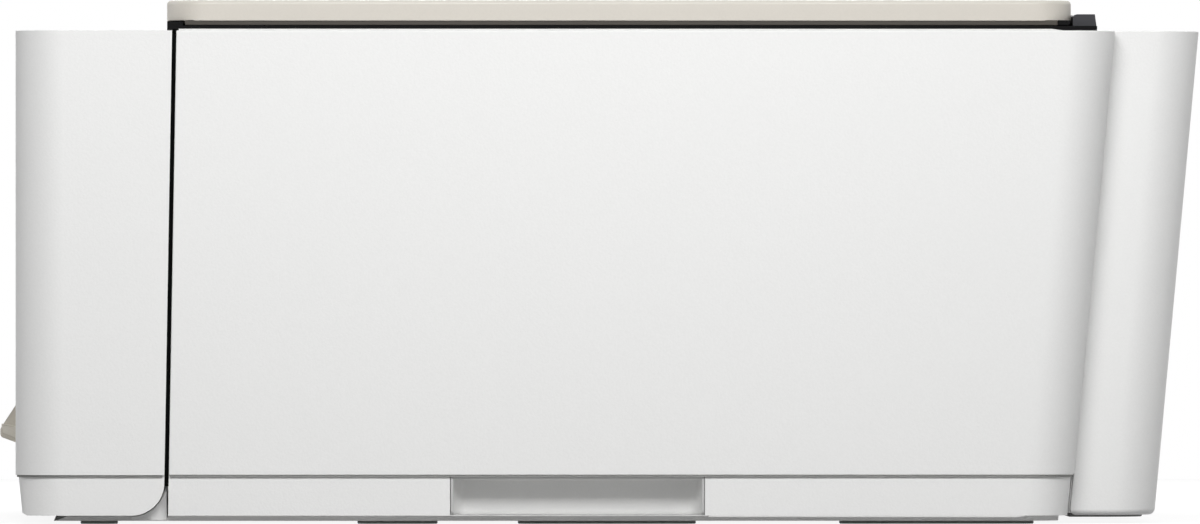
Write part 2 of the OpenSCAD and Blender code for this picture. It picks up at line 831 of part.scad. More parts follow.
module output_tray() {
    notch = stop_w / 2 + 2;
    color(black) difference() {
        union() {
            box_between([-out_w / 2, out_y0, out_z], [out_w / 2, out_y1, out_z + out_t]);
            both_sides() {
                box_between([out_w / 2 - 2, out_y0, out_z], [out_w / 2, out_y1, out_z + 6]);
                box_between([out_w / 2 - eps, front_wall_y[0] + 2, out_z],
                    [chassis_x[0], out_y1, out_z + out_t]);
                box_between([ext_w / 2 + 0.6, out_y0 + 14, ext_z - 1.6],
                    [ext_w / 2 + 3, out_y1, out_z + eps]);
                box_between([ext_w / 2 - 4, out_y0 + 14, ext_z - 1.6],
                    [ext_w / 2 + 3, out_y1, ext_z - 0.3]);
            }
            for (x = [-90:36:90])
                box_between([x - 1, out_y0 + 30, out_z + out_t - eps], [x + 1, out_y1, out_z + out_t + 1]);
        }
        box_between([-notch, out_y0 - 1, out_z - 1], [notch, out_y0 + stop_l + 7, out_z + 10]);
    }
}

module output_extender() {
    slot = stop_w / 2 + 0.8;
    color(black) {
        difference() {
            box_between([-ext_w / 2, out_y0, ext_z], [ext_w / 2, out_y1 - 4, ext_z + ext_t]);
            box_between([-slot, out_y0 + 1, ext_z - 1], [slot, out_y0 + stop_l + 5, ext_z + ext_t + 1]);
        }
        bar_x(-slot - 2, slot + 2, stop_axis, stop_pin_r);
    }
}

module output_stop() {
    knuckle = ext_t / 2;
    color(black) difference() {
        union() {
            bar_x(-stop_w / 2, stop_w / 2, stop_axis, knuckle);
            box_between([-stop_w / 2, stop_axis[0], ext_z],
                [stop_w / 2, stop_axis[0] + stop_l, ext_z + ext_t]);
        }
        bar_x(-stop_w, stop_w, stop_axis, stop_pin_r + run_gap);
    }
}

// ---- Scanner ----

tub_y = [seam_y + 1, scan_rear_y];
tub_wall = 2;
rail_r = 3;
rail_z = scan_z + 9;

module scanner_base() {
    half = scan_w / 2 - 0.4;
    rack_half = scan_w / 2 - 16;
    color(graphite) {
        difference() {
            box_between([-half, tub_y[0], scan_z], [half, tub_y[1], flange_z]);
            box_between([-half + tub_wall, tub_y[0] + tub_wall, scan_z + tub_wall],
                [half - tub_wall, tub_y[1] - tub_wall, flange_z + 1]);
        }
        both_sides() difference() {
            box_between([window_l / 2 + 32, scan_rail_y - 7, scan_z + 1],
                [window_l / 2 + 38, scan_rail_y + 7, rail_z + 6]);
            bar_x(0, half, [scan_rail_y, rail_z], rail_r);
        }
        translate([0, head_y, scan_rack_z]) linear_extrude(4)
            translate([0, -scan_gear_r]) mirror([0, 1])
                polygon(rack_outline(-74, 74, scan_rack_m, 4));
        box_between([-rack_half, head_y - scan_gear_r - 4, scan_z + 1],
            [rack_half, head_y - scan_gear_r - 1.2, scan_rack_z + 1]);
    }
}

module scanner_frame() {
    bumper = [4, 5, 1.2];
    color(black) {
        difference() {
            union() {
                box_between([-scan_w / 2, scan_front_y, flange_z], [scan_w / 2, scan_rear_y, flange_top]);
                box_between([-scan_w / 2, scan_front_y, flange_top - eps],
                    [scan_w / 2, scan_front_y + 4.8, flange_top + 1.2]);
            }
            box_between([-window_l / 2, window_y - window_w / 2, flange_z - 1],
                [window_l / 2, window_y + window_w / 2, flange_top + 1]);
        }
        both_sides() translate([scan_w / 2 - 4.6, scan_front_y + 24.8, flange_top - eps]) cube(bumper);
    }
}

module scanner_glass() {
    lap = 6;
    color([0.75, 0.85, 0.85, 0.5])
        box_between([-window_l / 2 - lap, window_y - window_w / 2 - lap, glass_top - glass_t],
            [window_l / 2 + lap, window_y + window_w / 2 + lap, glass_top]);
}

module scan_rail() {
    color(steel) bar_x(-window_l / 2 - 37, window_l / 2 + 37, [scan_rail_y, rail_z], rail_r);
}

scan_gear_axis = [head_x, head_y];

module scan_head() {
    z = [scan_rack_z + 6, glass_top - glass_t - 1.2];
    color(black) difference() {
        union() {
            box_between([head_x - head_w / 2, window_y - window_w / 2, z[0]],
                [head_x + head_w / 2, window_y + window_w / 2, z[1]]);
            box_between([head_x - 14, scan_rail_y - 6, z[0] - 4], [head_x + 14, scan_rail_y + 6, z[0] + 6]);
            bar_z(scan_rack_z, z[0] + eps, scan_gear_axis, 1.5);
        }
        bar_x(head_x - 20, head_x + 20, [scan_rail_y, rail_z], rail_r + run_gap);
        box_between([head_x - 3, window_y - window_w / 2 + 3, z[1] - 1.6],
            [head_x + 3, window_y + window_w / 2 - 3, z[1] + 1]);
    }
    color([0.8, 0.85, 0.85])
        box_between([head_x - 3, window_y - window_w / 2 + 3, z[1] - 1.6 - eps],
            [head_x + 3, window_y + window_w / 2 - 3, z[1] - 0.6]);
}

module scan_gear() {
    first_gap = round(head_x / (PI * scan_rack_m)) * PI * scan_rack_m;
    roll = (head_x - first_gap) / scan_gear_r * 180 / PI;
    color(white) difference() {
        translate([head_x, head_y, scan_rack_z]) linear_extrude(4)
            rotate(-90 - roll) polygon(gear_outline(scan_teeth, scan_rack_m));
        bar_z(scan_rack_z - 1, scan_rack_z + 5, scan_gear_axis, 1.5 + run_gap);
    }
}

// ---- Lid ----

module lid_prism(inset, z0, z1, r) {
    translate([0, 0, z0]) linear_extrude(z1 - z0)
        round_rect([-lid_w / 2 + inset, lid_y0 + inset], [lid_w / 2 - inset, lid_y1 - inset], r);
}

module lid_shell() {
    skin = 1.8;
    color(beige) difference() {
        lid_prism(0, lid_z, lid_z + lid_t, lid_corner_r);
        lid_prism(skin, lid_z - 1, lid_z + lid_t - skin, lid_corner_r - skin);
        for (x = hinge_xs)
            box_between([x - hinge_arm - 0.1, lid_y1 - 3, lid_z - 1],
                [x + hinge_arm + 0.1, lid_y1 + 1, lid_axis[1] + knuckle_r]);
    }
}

module lid_inner() {
    arm = hinge_arm;
    color(graphite) {
        lid_prism(5, flange_top + 0.35, lid_z + 0.6, lid_corner_r - 4);
        lid_prism(1.8, lid_z + 0.6 - eps, lid_z + 2.4, lid_corner_r - 1.8);
        for (x = hinge_xs) difference() {
            union() {
                bar_x(x - arm, x + arm, lid_axis, knuckle_r);
                box_between([x - arm, lid_y1 - 8, lid_axis[1] - 0.4],
                    [x + arm, lid_axis[0], lid_axis[1] + knuckle_r]);
            }
            bar_x(x - arm - 1, x + arm + 1, lid_axis, hinge_pin_r + run_gap);
        }
    }
}

module lid_pad() {
    gap = 2.5;
    color(white) box_between([-window_l / 2 + gap, window_y - window_w / 2 + gap, glass_top + 0.3],
        [window_l / 2 - gap, window_y + window_w / 2 - gap, flange_top + 0.35]);
}

module lid_hinges() {
    pin_reach = 6.3;
    y = [lid_y1 + 0.4, lid_y1 + 1.6, scan_rear_y - 0.5, scan_rear_y];
    z = [flange_top, lid_axis[1] + 1, lid_axis[1] + 1.6];
    color(graphite) both_sides() {
        for (x = [[hinge_x - 15, hinge_x - 5.3], [hinge_x + 5.3, scan_w / 2 - 5]])
            along_x(x[0], x[1])
                polygon([[y[0], z[0]], [y[0], z[1]], [y[1], z[2]], [y[2], z[2]], [y[3], z[0]]]);
        bar_x(hinge_x - pin_reach, hinge_x + pin_reach, lid_axis, hinge_pin_r);
    }
}

// ---- Front door ----

module front_door() {
    slot = [lug_x[0] - 1.6, lug_x[1] + 1.6];
    bracket = 4;
    relief_y = door_rear_y - (case_top - plinth_top) * tan(seam_tilt) - relief_r;
    color(white) difference() {
        union() {
            difference() {
                intersection() {
                    union() {
                        door_prism(0, plinth_top, case_top);
                        intersection() {
                            door_prism(plinth_inset, door_z0, plinth_top + eps);
                            behind_toe_face();
                        }
                    }
                    before_seam();
                }
                door_prism(wall + plinth_inset, door_z0 + wall, case_top - wall);
                box_between([-mouth_w / 2, face_y - 1, mouth_z[0]], [mouth_w / 2, overall_d, mouth_z[1]]);
                box_between([-mouth_w / 2 - 2, face_y + wall + plinth_inset, 0],
                    [mouth_w / 2 + 2, overall_d, plinth_top]);
                both_sides() box_between([slot[0], door_axis[0] - 5, 0], [slot[1], overall_d, 12]);
                difference() {
                    box_between([-case_w, relief_y, door_z0 - 1], [case_w, overall_d, door_z0 + relief_r]);
                    bar_x(-case_w, case_w, [relief_y, door_z0 + relief_r], relief_r);
                }
                box_between([panel_x - panel_w / 2, face_y - 1, panel_z - panel_h / 2],
                    [panel_x + panel_w / 2, face_y + 4, panel_z + panel_h / 2]);
                bar_y(face_y - 1, face_y + 4, [button_x, panel_z], button_r + 0.15);
            }
            both_sides() for (x = [slot[0] - bracket - 0.2, slot[1] + 0.2]) {
                box_between([x, face_y + wall, door_axis[1] - 3],
                    [x + bracket, door_axis[0], door_axis[1] + 4]);
                bar_x(x, x + bracket, door_axis, 4);
            }
            both_sides() bar_x(slot[0] - 1, slot[1] + 1, door_axis, door_pin_r);
        }
        difference() {
            box_between([-case_w, -overall_d, 0], [case_w, door_axis[0], door_axis[1] - 4]);
            toe_sweep(0);
        }
    }
}

module door_liner() {
    skin = wall + plinth_inset;
    half = half_w - skin;
    color(graphite) difference() {
        union() {
            box_between([-half, liner_y - liner_t, 24], [half, liner_y, case_top - wall]);
            box_between([-mouth_w / 2 - liner_t, face_y + skin, mouth_z[0] + 2],
                [mouth_w / 2 + liner_t, liner_y, mouth_z[1] + liner_t]);
            both_sides() for (z = [40, 80, 120])
                box_between([half - 12, liner_y - 8, z], [half, liner_y - liner_t + eps, z + 2]);
        }
        box_between([-mouth_w / 2, face_y - 1, 0], [mouth_w / 2, overall_d, mouth_z[1]]);
    }
}

module control_panel() {
    color(black) difference() {
        box_between([panel_x - panel_w / 2 + 0.1, face_y + 0.3, panel_z - panel_h / 2 + 0.1],
            [panel_x + panel_w / 2 - 0.1, face_y + panel_depth, panel_z + panel_h / 2 - 0.1]);
        box_between([panel_x - panel_w / 2 + 6, face_y - 1, panel_z - panel_h / 2 + 7],
            [panel_x + panel_w / 2 - 10, face_y + 1.5, panel_z + panel_h / 2 - 7]);
    }
    color([0.1, 0.3, 0.2])
        box_between([panel_x - panel_w / 2 - 2, face_y + panel_depth - eps, panel_z - 14],
            [button_x + 12, face_y + panel_depth + 1.6, panel_z + 14]);
    color(grey) for (x = [panel_x - 30, panel_x + 40], z = [-1, 1])
        bar_y(face_y + panel_depth + 1.5, liner_y - liner_t, [x, panel_z + z * 10], 2.5);
}

module touch_display() {
    color([0.1, 0.12, 0.15])
        box_between([panel_x - panel_w / 2 + 6.1, face_y + 0.3, panel_z - panel_h / 2 + 7.1],
            [panel_x + panel_w / 2 - 10.1, face_y + 1.5, panel_z + panel_h / 2 - 7.1]);
}

module power_button() {
    color(grey) {
        bar_y(face_y - 0.3, face_y + 2, [button_x, panel_z], button_r);
        bar_y(face_y + 2 - eps, face_y + panel_depth - 1.4, [button_x, panel_z], 1.6);
    }
}

// ---- Paper cassette ----

tray_inner = tray_w / 2 - tray_wall;

module input_tray() {
    color(graphite) difference() {
        union() {
            difference() {
                box_between([-tray_w / 2, tray_y0, tray_z], [tray_w / 2, tray_y1, tray_z + tray_h]);
                box_between([-tray_inner, tray_y0 - 1, tray_z + tray_skin],
                    [tray_inner, tray_y1 - tray_wall, tray_z + tray_h + 1]);
                box_between([-tray_w, tray_y1 - 30, ramp_top], [tray_w, tray_y1 + 1, tray_z + tray_h + 1]);
            }
            for (y = [tray_y0 + 1, tray_y1 - 40], side = [-1, 1])
                box_between([min(side * 4, side * tray_inner), y, tray_z],
                    [max(side * 4, side * tray_inner), y + 6, sheet_floor_z]);
            both_sides() box_between([tray_inner - 3, tray_y0 + 1, tray_z],
                [tray_inner + eps, tray_y1 - 12, sheet_floor_z]);
            bar_z(tray_z, rack_z + rack_t, [0, pinion_y], 2);
            along_x(-tray_inner - eps, tray_inner + eps)
                polygon([[tray_y1 - 14, tray_z], [tray_y1 - 12, sheet_floor_z], [tray_y1 - 6, sheet_z + 0.6],
                    [tray_y1 - 1, ramp_top], [tray_y1, ramp_top], [tray_y1, tray_z]]);
        }
    }
}

slot_y = [pinion_y - rack_r - rack_back + 2.2, pinion_y + rack_r + rack_back - 2.2];
slot_reach = [34, paper_w / 2 + 0.5];

module tray_floor() {
    color(graphite) difference() {
        box_between([-tray_inner + 0.2, tray_y0 + 1, sheet_floor_z],
            [tray_inner - 0.2, tray_y1 - 12.4, sheet_z]);
        for (side = [-1, 1]) {
            y = side < 0 ? slot_y[1] : slot_y[0];
            span = side * slot_reach;
            box_between([min(span), y - 2.3, sheet_floor_z - 1], [max(span), y + 2.3, sheet_z + 1]);
        }
        box_between([-2.3, tray_y0 + 2.6, sheet_floor_z - 1], [2.3, -36, sheet_z + 1]);
    }
}

module tray_front() {
    lip_w = paper_w - 26;
    color(beige) {
        box_between([-tray_w / 2, face_y + 0.2, tray_z], [tray_w / 2, tray_y0, tray_z + tray_h]);
        along_x(-lip_w / 2, lip_w / 2) polygon([[face_y + 1, tray_z + 21.4],
            [face_y + 0.2, tray_z + 21.1], [lip_y + 0.4, tray_z + 13.2], [lip_y, tray_z + 12.4],
            [lip_y, tray_z + 10.6], [lip_y + 0.5, tray_z + 9.9], [face_y + 1, tray_z + 7.7]]);
    }
}

// Guide on the side of the paper given by side, with its rack towards the pinion
module width_guide(side) {
    face = side * (paper_w / 2 + fence_gap);
    back = side * (paper_w / 2 + fence_gap + fence_t);
    y = side < 0 ? slot_y[1] : slot_y[0];
    fence_y = [pinion_y - 34, pinion_y + 34];
    reach = [face - side * 16, face - side * 1.4];
    rack_end = -floor((paper_w / 2 - 1) / (PI * gear_m));
    color(grey) {
        box_between([min(face, back), fence_y[0], sheet_z + 0.3],
            [max(face, back), fence_y[1], sheet_z + 16]);
        box_between([min(reach), y - 2, rack_z], [max(reach), y + 2, sheet_z + 0.3 + eps]);
        box_between([min(reach), y - 8, sheet_z + 0.3], [max(reach), y + 8, sheet_z + 1.1]);
        translate([0, pinion_y, rack_z]) linear_extrude(rack_t)
            rotate(side < 0 ? 0 : 180) translate([0, rack_r])
                polygon(rack_outline(rack_end, 3, gear_m, rack_back));
    }
}

module width_guide_left() {
    width_guide(-1);
}

module width_guide_right() {
    width_guide(1);
}

module guide_pinion() {
    color(white) difference() {
        translate([0, pinion_y, rack_z]) linear_extrude(rack_t)
            rotate(90) polygon(gear_outline(guide_teeth, gear_m));
        bar_z(rack_z - 1, rack_z + rack_t + 1, [0, pinion_y], 2 + run_gap);
    }
}

module length_guide() {
    y = tray_y1 - 9 - paper_l - 2;
    color(grey) {
        box_between([-16, y, sheet_z + 0.3], [16, y + 2, sheet_z + 14]);
        box_between([-16, y, sheet_z + 0.3], [16, y + 16, sheet_z + 1.3]);
        box_between([-2, y + 2, rack_z], [2, y + 14, sheet_z + 0.3 + eps]);
    }
}

// ---- Carriage and cartridges ----

bay_y = [carriage_y0 + 2, 12];
snout_y = [-13, 9];

module bay_boxes(grow, z0, z1) {
    for (i = [0, 1]) {
        x = carriage_x + (i - 0.5) * bay_pitch;
        box_between([x - bay_w / 2 - grow, bay_y[0] - 10, z0], [x + bay_w / 2 + grow, bay_y[1] + grow, z1]);
    }
}

module carriage() {
    x0 = carriage_x - carriage_w / 2;
    x1 = carriage_x + carriage_w / 2;
    clamp = [belt_y[0] - 2.6, belt_y[1] + 1.2];
    run_z = belt_z - pulley_r - 0.1 - belt_t;
    color(black) difference() {
        union() {
            difference() {
                box_between([x0, carriage_y0, carriage_z], [x1, bay_y[1] + 2, carriage_top - 8]);
                bay_boxes(0, carriage_z + 2, carriage_top + 5);
                for (i = [0, 1]) {
                    x = carriage_x + (i - 0.5) * bay_pitch;
                    box_between([x - 12, bay_y[0] - 10, carriage_z - 1],
                        [x + 12, snout_y[1] + 0.6, carriage_z + 3]);
                }
            }
            box_between([x0, bay_y[1] + 2 - eps, rod_axis[1] - 9], [x1, rod_axis[0] + 5.5, carriage_top - 4]);
            box_between([carriage_x - 14, rod_axis[0] + 5, run_z - 5],
                [carriage_x + 14, clamp[0] + 1, run_z - 0.4]);
            box_between([carriage_x - 14, clamp[0] - 0.2, run_z - 2],
                [carriage_x + 14, clamp[1], run_z - 0.4]);
        }
        bar_x(x0 - 1, x1 + 1, rod_axis, rod_r + run_gap);
        box_between([x0 - 1, encoder_y - 0.8, print_z], [x1 + 1, encoder_y + 1, run_z - 2.4]);
    }
}

// Cartridge in bay i, with its nozzle snout below
module cartridge(i) {
    x = carriage_x + (i - 0.5) * bay_pitch;
    half = cartridge_w / 2;
    difference() {
        union() {
            box_between([x - half, bay_y[0] - 1, carriage_z + 2.2],
                [x + half, bay_y[1] - 0.3, carriage_top - 10]);
            box_between([x - 11, snout_y[0], nozzle_z], [x + 11, snout_y[1], carriage_z + 2.2 + eps]);
            box_between([x - half + 3, bay_y[0] - 3, carriage_top - 14],
                [x + half - 3, bay_y[0], carriage_top - 8]);
        }
        box_between([x - 9, bay_y[0] + 8, carriage_top - 11], [x + 9, bay_y[0] + 12, carriage_top]);
    }
}

module black_cartridge() {
    color(graphite) cartridge(1);
}

module colour_cartridge() {
    color([0.25, 0.3, 0.38]) cartridge(0);
}

// ---- Paper drive ----

module feed_shaft() {
    color(steel) bar_x(-frame_x - 2, chassis_x[1] + 2, feed_axis, shaft_r);
}

module feed_rollers() {
    color(graphite) for (x = roller_xs) difference() {
        bar_x(x - roller_l / 2, x + roller_l / 2, feed_axis, feed_r);
        bar_x(x - roller_l, x + roller_l, feed_axis, shaft_r);
    }
}

module feed_gear() {
    color(white) gear_x_axis(feed_axis, feed_teeth, 0, shaft_r, gear_x, gear_t);
    color(white) difference() {
        bar_x(gear_x + gear_t - eps, gear_x + gear_t + 3, feed_axis, 6);
        bar_x(gear_x, gear_x + gear_t + 4, feed_axis, shaft_r);
    }
}

module exit_roller() {
    color(steel) bar_x(-frame_x - 2, chassis_x[1] + 2, exit_axis, shaft_r);
    color(graphite) for (x = roller_xs) difference() {
        bar_x(x - roller_l / 2, x + roller_l / 2, exit_axis, exit_r);
        bar_x(x - roller_l, x + roller_l, exit_axis, shaft_r - eps);
    }
}

span = norm(exit_axis - feed_axis);
to_exit = atan2(exit_axis[1] - feed_axis[1], exit_axis[0] - feed_axis[0]);
reach_feed = gear_m * (feed_teeth + transfer_teeth) / 2;
reach_exit = gear_m * (exit_teeth + transfer_teeth) / 2;
along = (reach_feed * reach_feed - reach_exit * reach_exit + span * span) / 2 / span;
to_transfer = to_exit + acos(along / reach_feed);
transfer_axis = feed_axis + polar(reach_feed, to_transfer);
transfer_turn = mesh_turn(to_transfer, 0, feed_teeth, transfer_teeth);
from_transfer = atan2(exit_axis[1] - transfer_axis[1], exit_axis[0] - transfer_axis[0]);
exit_turn = mesh_turn(from_transfer, transfer_turn, transfer_teeth, exit_teeth);
pinion_turn = mesh_turn(-60, 0, feed_teeth, pinion_teeth);

module exit_gear() {
    color(white) gear_x_axis(exit_axis, exit_teeth, exit_turn, shaft_r, gear_x, gear_t);
}

module transfer_gear() {
    color(white) {
        gear_x_axis(transfer_axis, transfer_teeth, transfer_turn, 2, gear_x, gear_t);
        bar_x(-frame_x, gear_x + gear_t, transfer_axis, 2);
    }
}

module feed_pinion() {
    color(white) gear_x_axis(feed_pinion_axis, pinion_teeth, pinion_turn, pulley_shaft_r, gear_x, gear_t);
    color(steel) bar_x(gear_x - 1, gear_x + gear_t + 14, feed_pinion_axis, pulley_shaft_r);
}

module pinch_rollers() {
    color(black) for (x = roller_xs) {
        bar_x(x - 3.5, x + 3.5, pinch_axis, pinch_r);
    }
    color(steel) bar_x(-chassis_x[0] + 4, chassis_x[0] - 4, pinch_axis, 1.2);
}

module star_wheels() {
    color(steel) bar_x(-chassis_x[1], chassis_x[1], star_axis, 0.8);
    color(steel) for (x = roller_xs)
        translate([x - 0.4, star_axis[0], star_axis[1]]) rotate([90, 0, 90]) linear_extrude(0.8)
            polygon([for (i = [0:23]) polar(i % 2 == 0 ? star_r : star_r - 0.8, i * 15)]);
}

module pick_arm() {
    link = [5, 8];
    dx = pick_axis[0] - pick_pivot[0];
    dz = pick_axis[1] - pick_pivot[1];
    reach = norm([dx, dz]);
    color(black) both_sides() difference() {
        union() {
            bar_x(link[0], link[1], pick_pivot, 6);
            bar_x(link[0], link[1], pick_axis, 5);
            translate([0, pick_pivot[0], pick_pivot[1]]) rotate([atan2(dz, dx), 0, 0])
                box_between([link[0], 0, -4], [link[1], reach, 4]);
        }
        bar_x(0, 40, pick_axis, 2);
    }
    color(steel) bar_x(-chassis_x[1], chassis_x[1], pick_pivot, shaft_r);
}

module pick_roller() {
    color(steel) bar_x(-22, 22, pick_axis, 2 - run_gap);
    color(graphite) for (x = [-21, 9]) difference() {
        bar_x(x, x + 12, pick_axis, pick_r);
        bar_x(x - 1, x + 13, pick_axis, 2 - run_gap);
    }
}

// ---- Rear cover ----

// Block of the cover's outline, the bulge between the shoulders
module cover_prism(inset, z0, z1) {
    intersection() {
        bulge_prism(inset, z0, z1);
        box_between([-bump_w / 2 + inset, 0, 0], [bump_w / 2 - inset, overall_d, case_top + 1]);
    }
}

module rear_cover() {
    drum = [turn_y, turn_z];
    path_r = drum_r + 2.6;
    color(white) difference() {
        cover_prism(0, plinth_z, case_top);
        cover_prism(wall, plinth_z + wall, case_top - wall);
        case_prism(-cover_gap);
    }
    color(graphite) for (x = [-drum_w / 2:drum_w / 8:drum_w / 2]) intersection() {
        difference() {
            box_between([x - 1, turn_y - 8, turn_z - drum_r - 8], [x + 1, overall_d, turn_z + drum_r + 8]);
            bar_x(x - 2, x + 2, drum, path_r);
            box_between([x - 2, 0, turn_z - path_r], [x + 2, turn_y, turn_z + path_r]);
        }
        cover_prism(wall - 0.1, plinth_z + 1, case_top);
    }
    color(graphite) for (z = [turn_z - drum_r - 8, turn_z + drum_r + 6]) intersection() {
        box_between([-drum_w / 2 - 1, turn_y - 2, z], [drum_w / 2 + 1, overall_d, z + 2]);
        cover_prism(wall - 0.1, plinth_z + 1, case_top);
    }
}

// ---- Fasteners ----

module case_screws() {
    z = inside_z + frame_t;
    color(steel) for (x = screw_xs, y = screw_ys) {
        bar_z(z, z + 1.8, [x, y], 3);
        bar_z(floor_z + 0.4, z + eps, [x, y], screw_r);
    }
}

// ---- Assembly ----
base_pan();
main_housing();
rubber_feet();
inner_frame();
side_frames();
carriage_beam();
carriage_rod();
platen();
turn_guide();
pinch_frame();
service_station();
main_board();
power_supply();
drive_motors();
drive_belt();
encoder_strip();
output_tray();
scanner_base();
scanner_frame();
scanner_glass();
scan_rail();
case_screws();
front_door();
door_liner();
control_panel();
touch_display();
power_button();
lid_shell();
lid_inner();
lid_pad();
lid_hinges();
input_tray();
tray_floor();
tray_front();
width_guide_left();
width_guide_right();
guide_pinion();
length_guide();
output_extender();
output_stop();
carriage();
black_cartridge();
colour_cartridge();
motor_pulley();
idler_pulley();
feed_shaft();
feed_rollers();
feed_gear();
exit_roller();
exit_gear();
transfer_gear();
feed_pinion();
pinch_rollers();
star_wheels();
pick_arm();
pick_roller();
service_sled();
rear_cover();
scan_head();
scan_gear();
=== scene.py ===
import math

import bmesh
import bpy
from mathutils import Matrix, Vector


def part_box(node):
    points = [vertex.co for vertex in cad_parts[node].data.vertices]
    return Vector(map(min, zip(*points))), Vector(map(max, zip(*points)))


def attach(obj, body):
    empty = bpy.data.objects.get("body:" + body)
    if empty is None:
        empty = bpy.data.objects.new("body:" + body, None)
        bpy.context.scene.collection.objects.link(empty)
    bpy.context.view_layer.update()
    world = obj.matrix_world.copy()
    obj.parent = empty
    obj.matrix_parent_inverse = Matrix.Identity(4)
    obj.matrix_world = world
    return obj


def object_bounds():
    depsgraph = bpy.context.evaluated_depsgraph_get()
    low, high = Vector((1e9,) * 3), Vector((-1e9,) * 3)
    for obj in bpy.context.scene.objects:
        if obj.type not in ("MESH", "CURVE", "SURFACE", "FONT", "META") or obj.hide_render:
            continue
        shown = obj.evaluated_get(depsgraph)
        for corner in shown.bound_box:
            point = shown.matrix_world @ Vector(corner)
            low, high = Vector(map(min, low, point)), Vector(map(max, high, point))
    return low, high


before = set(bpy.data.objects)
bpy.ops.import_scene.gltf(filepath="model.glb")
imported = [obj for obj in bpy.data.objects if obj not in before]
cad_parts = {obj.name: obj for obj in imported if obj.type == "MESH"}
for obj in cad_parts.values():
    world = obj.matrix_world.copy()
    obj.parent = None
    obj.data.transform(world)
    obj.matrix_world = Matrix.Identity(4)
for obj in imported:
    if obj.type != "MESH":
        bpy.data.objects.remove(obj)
cad_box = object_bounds()


# ---- Camera and studio ----
# A long lens stands far off the machine's right side, level with the middle of its wall and
# in line with the front edge of the lid, which is then seen exactly edge-on.

case_hi = cad_box[1]
lid_lo, lid_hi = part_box("lid_shell")
middle_y = -0.0002
half_height = 0.0795
view_centre = Vector((case_hi.x, middle_y, half_height))
view_width = 0.3637
lens = 700.0
sensor = 36.0

camera_data = bpy.data.cameras.new("side_camera")
camera_data.sensor_width = sensor
camera_data.lens = lens
camera_data.clip_start = 0.1
camera_data.clip_end = 40.0
camera = bpy.data.objects.new("side_camera", camera_data)
camera.location = (view_centre.x + view_width * lens / sensor, lid_lo.y, view_centre.z)
camera.rotation_euler = (view_centre - camera.location).to_track_quat("-Z", "Y").to_euler()
bpy.context.scene.collection.objects.link(camera)
bpy.context.scene.camera = camera

bpy.context.scene.view_settings.view_transform = "Standard"


def linear(hex_colour):
    """An sRGB hex colour as linear red, green, blue and alpha."""
    parts = [int(hex_colour[i:i + 2], 16) / 255 for i in (1, 3, 5)]
    return (*[c / 12.92 if c <= 0.04045 else ((c + 0.055) / 1.055) ** 2.4 for c in parts], 1.0)


def add(tree, kind, links=None, **settings):
    """A node with its settings; each socket is set to a value or linked from another node."""
    node = tree.nodes.new(kind)
    for name, value in settings.items():
        setattr(node, name, value)
    for socket, value in (links or {}).items():
        if isinstance(value, bpy.types.NodeSocket):
            tree.links.new(value, node.inputs[socket])
        else:
            node.inputs[socket].default_value = value
    return node


def softbox(name, place, target, size, power):
    """A soft lamp of a size in metres and a power in watts, turned towards a target."""
    lamp = bpy.data.lights.new(name, "AREA")
    lamp.shape = "RECTANGLE"
    lamp.size, lamp.size_y = size
    lamp.energy = power
    box = bpy.data.objects.new(name, lamp)
    box.location = place
    box.rotation_euler = (Vector(target) - Vector(place)).to_track_quat("-Z", "Y").to_euler()
    box.visible_camera = False
    bpy.context.scene.collection.objects.link(box)


# A wide lamp stands off each side, well above the machine, so each wall fades softly from its
# top to its foot. Weaker ones hang overhead, graze the right rear corner, and fill front and back.
hands = ((1, "right"), (-1, "left"))
for side, hand in hands:
    softbox(hand + "_strip", (side * 0.90, 0, 0.62), (side * 0.216, 0, 0.08), (0.6, 0.3), 7.0)
softbox("overhead", (-0.2, 0, 1.6), (0, 0, 0.15), (1.2, 1.2), 1.6)
softbox("rear_kicker", (0.9, 1.1, 0.30), (0.198, 0.17, 0.08), (0.3, 0.5), 0.55)
softbox("front_fill", (-0.2, -1.2, 0.55), (0.0, -0.18, 0.08), (0.6, 0.4), 3.0)
softbox("rear_fill", (-0.35, 1.2, 0.55), (-0.1, 0.16, 0.08), (0.6, 0.4), 3.0)

room_light = 0.12
room_seen = 1.0
world = bpy.data.worlds.new("white_room")
world.use_nodes = True
room = world.node_tree
room.nodes.clear()


def seen_by_eye(tree):
    """One for a ray from the camera, a reflection or a look through glass, and nought for light."""
    ray = add(tree, "ShaderNodeLightPath")
    near = add(tree, "ShaderNodeMath", {0: ray.outputs["Is Camera Ray"],
                                        1: ray.outputs["Is Glossy Ray"]},
               operation="ADD", use_clamp=True)
    return add(tree, "ShaderNodeMath", {0: near.outputs[0], 1: ray.outputs["Is Transmission Ray"]},
               operation="ADD", use_clamp=True).outputs[0]


level = add(room, "ShaderNodeMapRange", {"Value": seen_by_eye(room), "To Min": room_light,
                                         "To Max": room_seen})
sky = add(room, "ShaderNodeBackground", {"Color": (1, 1, 1, 1), "Strength": level.outputs["Result"]})
add(room, "ShaderNodeOutputWorld", {"Surface": sky.outputs[0]})
bpy.context.scene.world = world

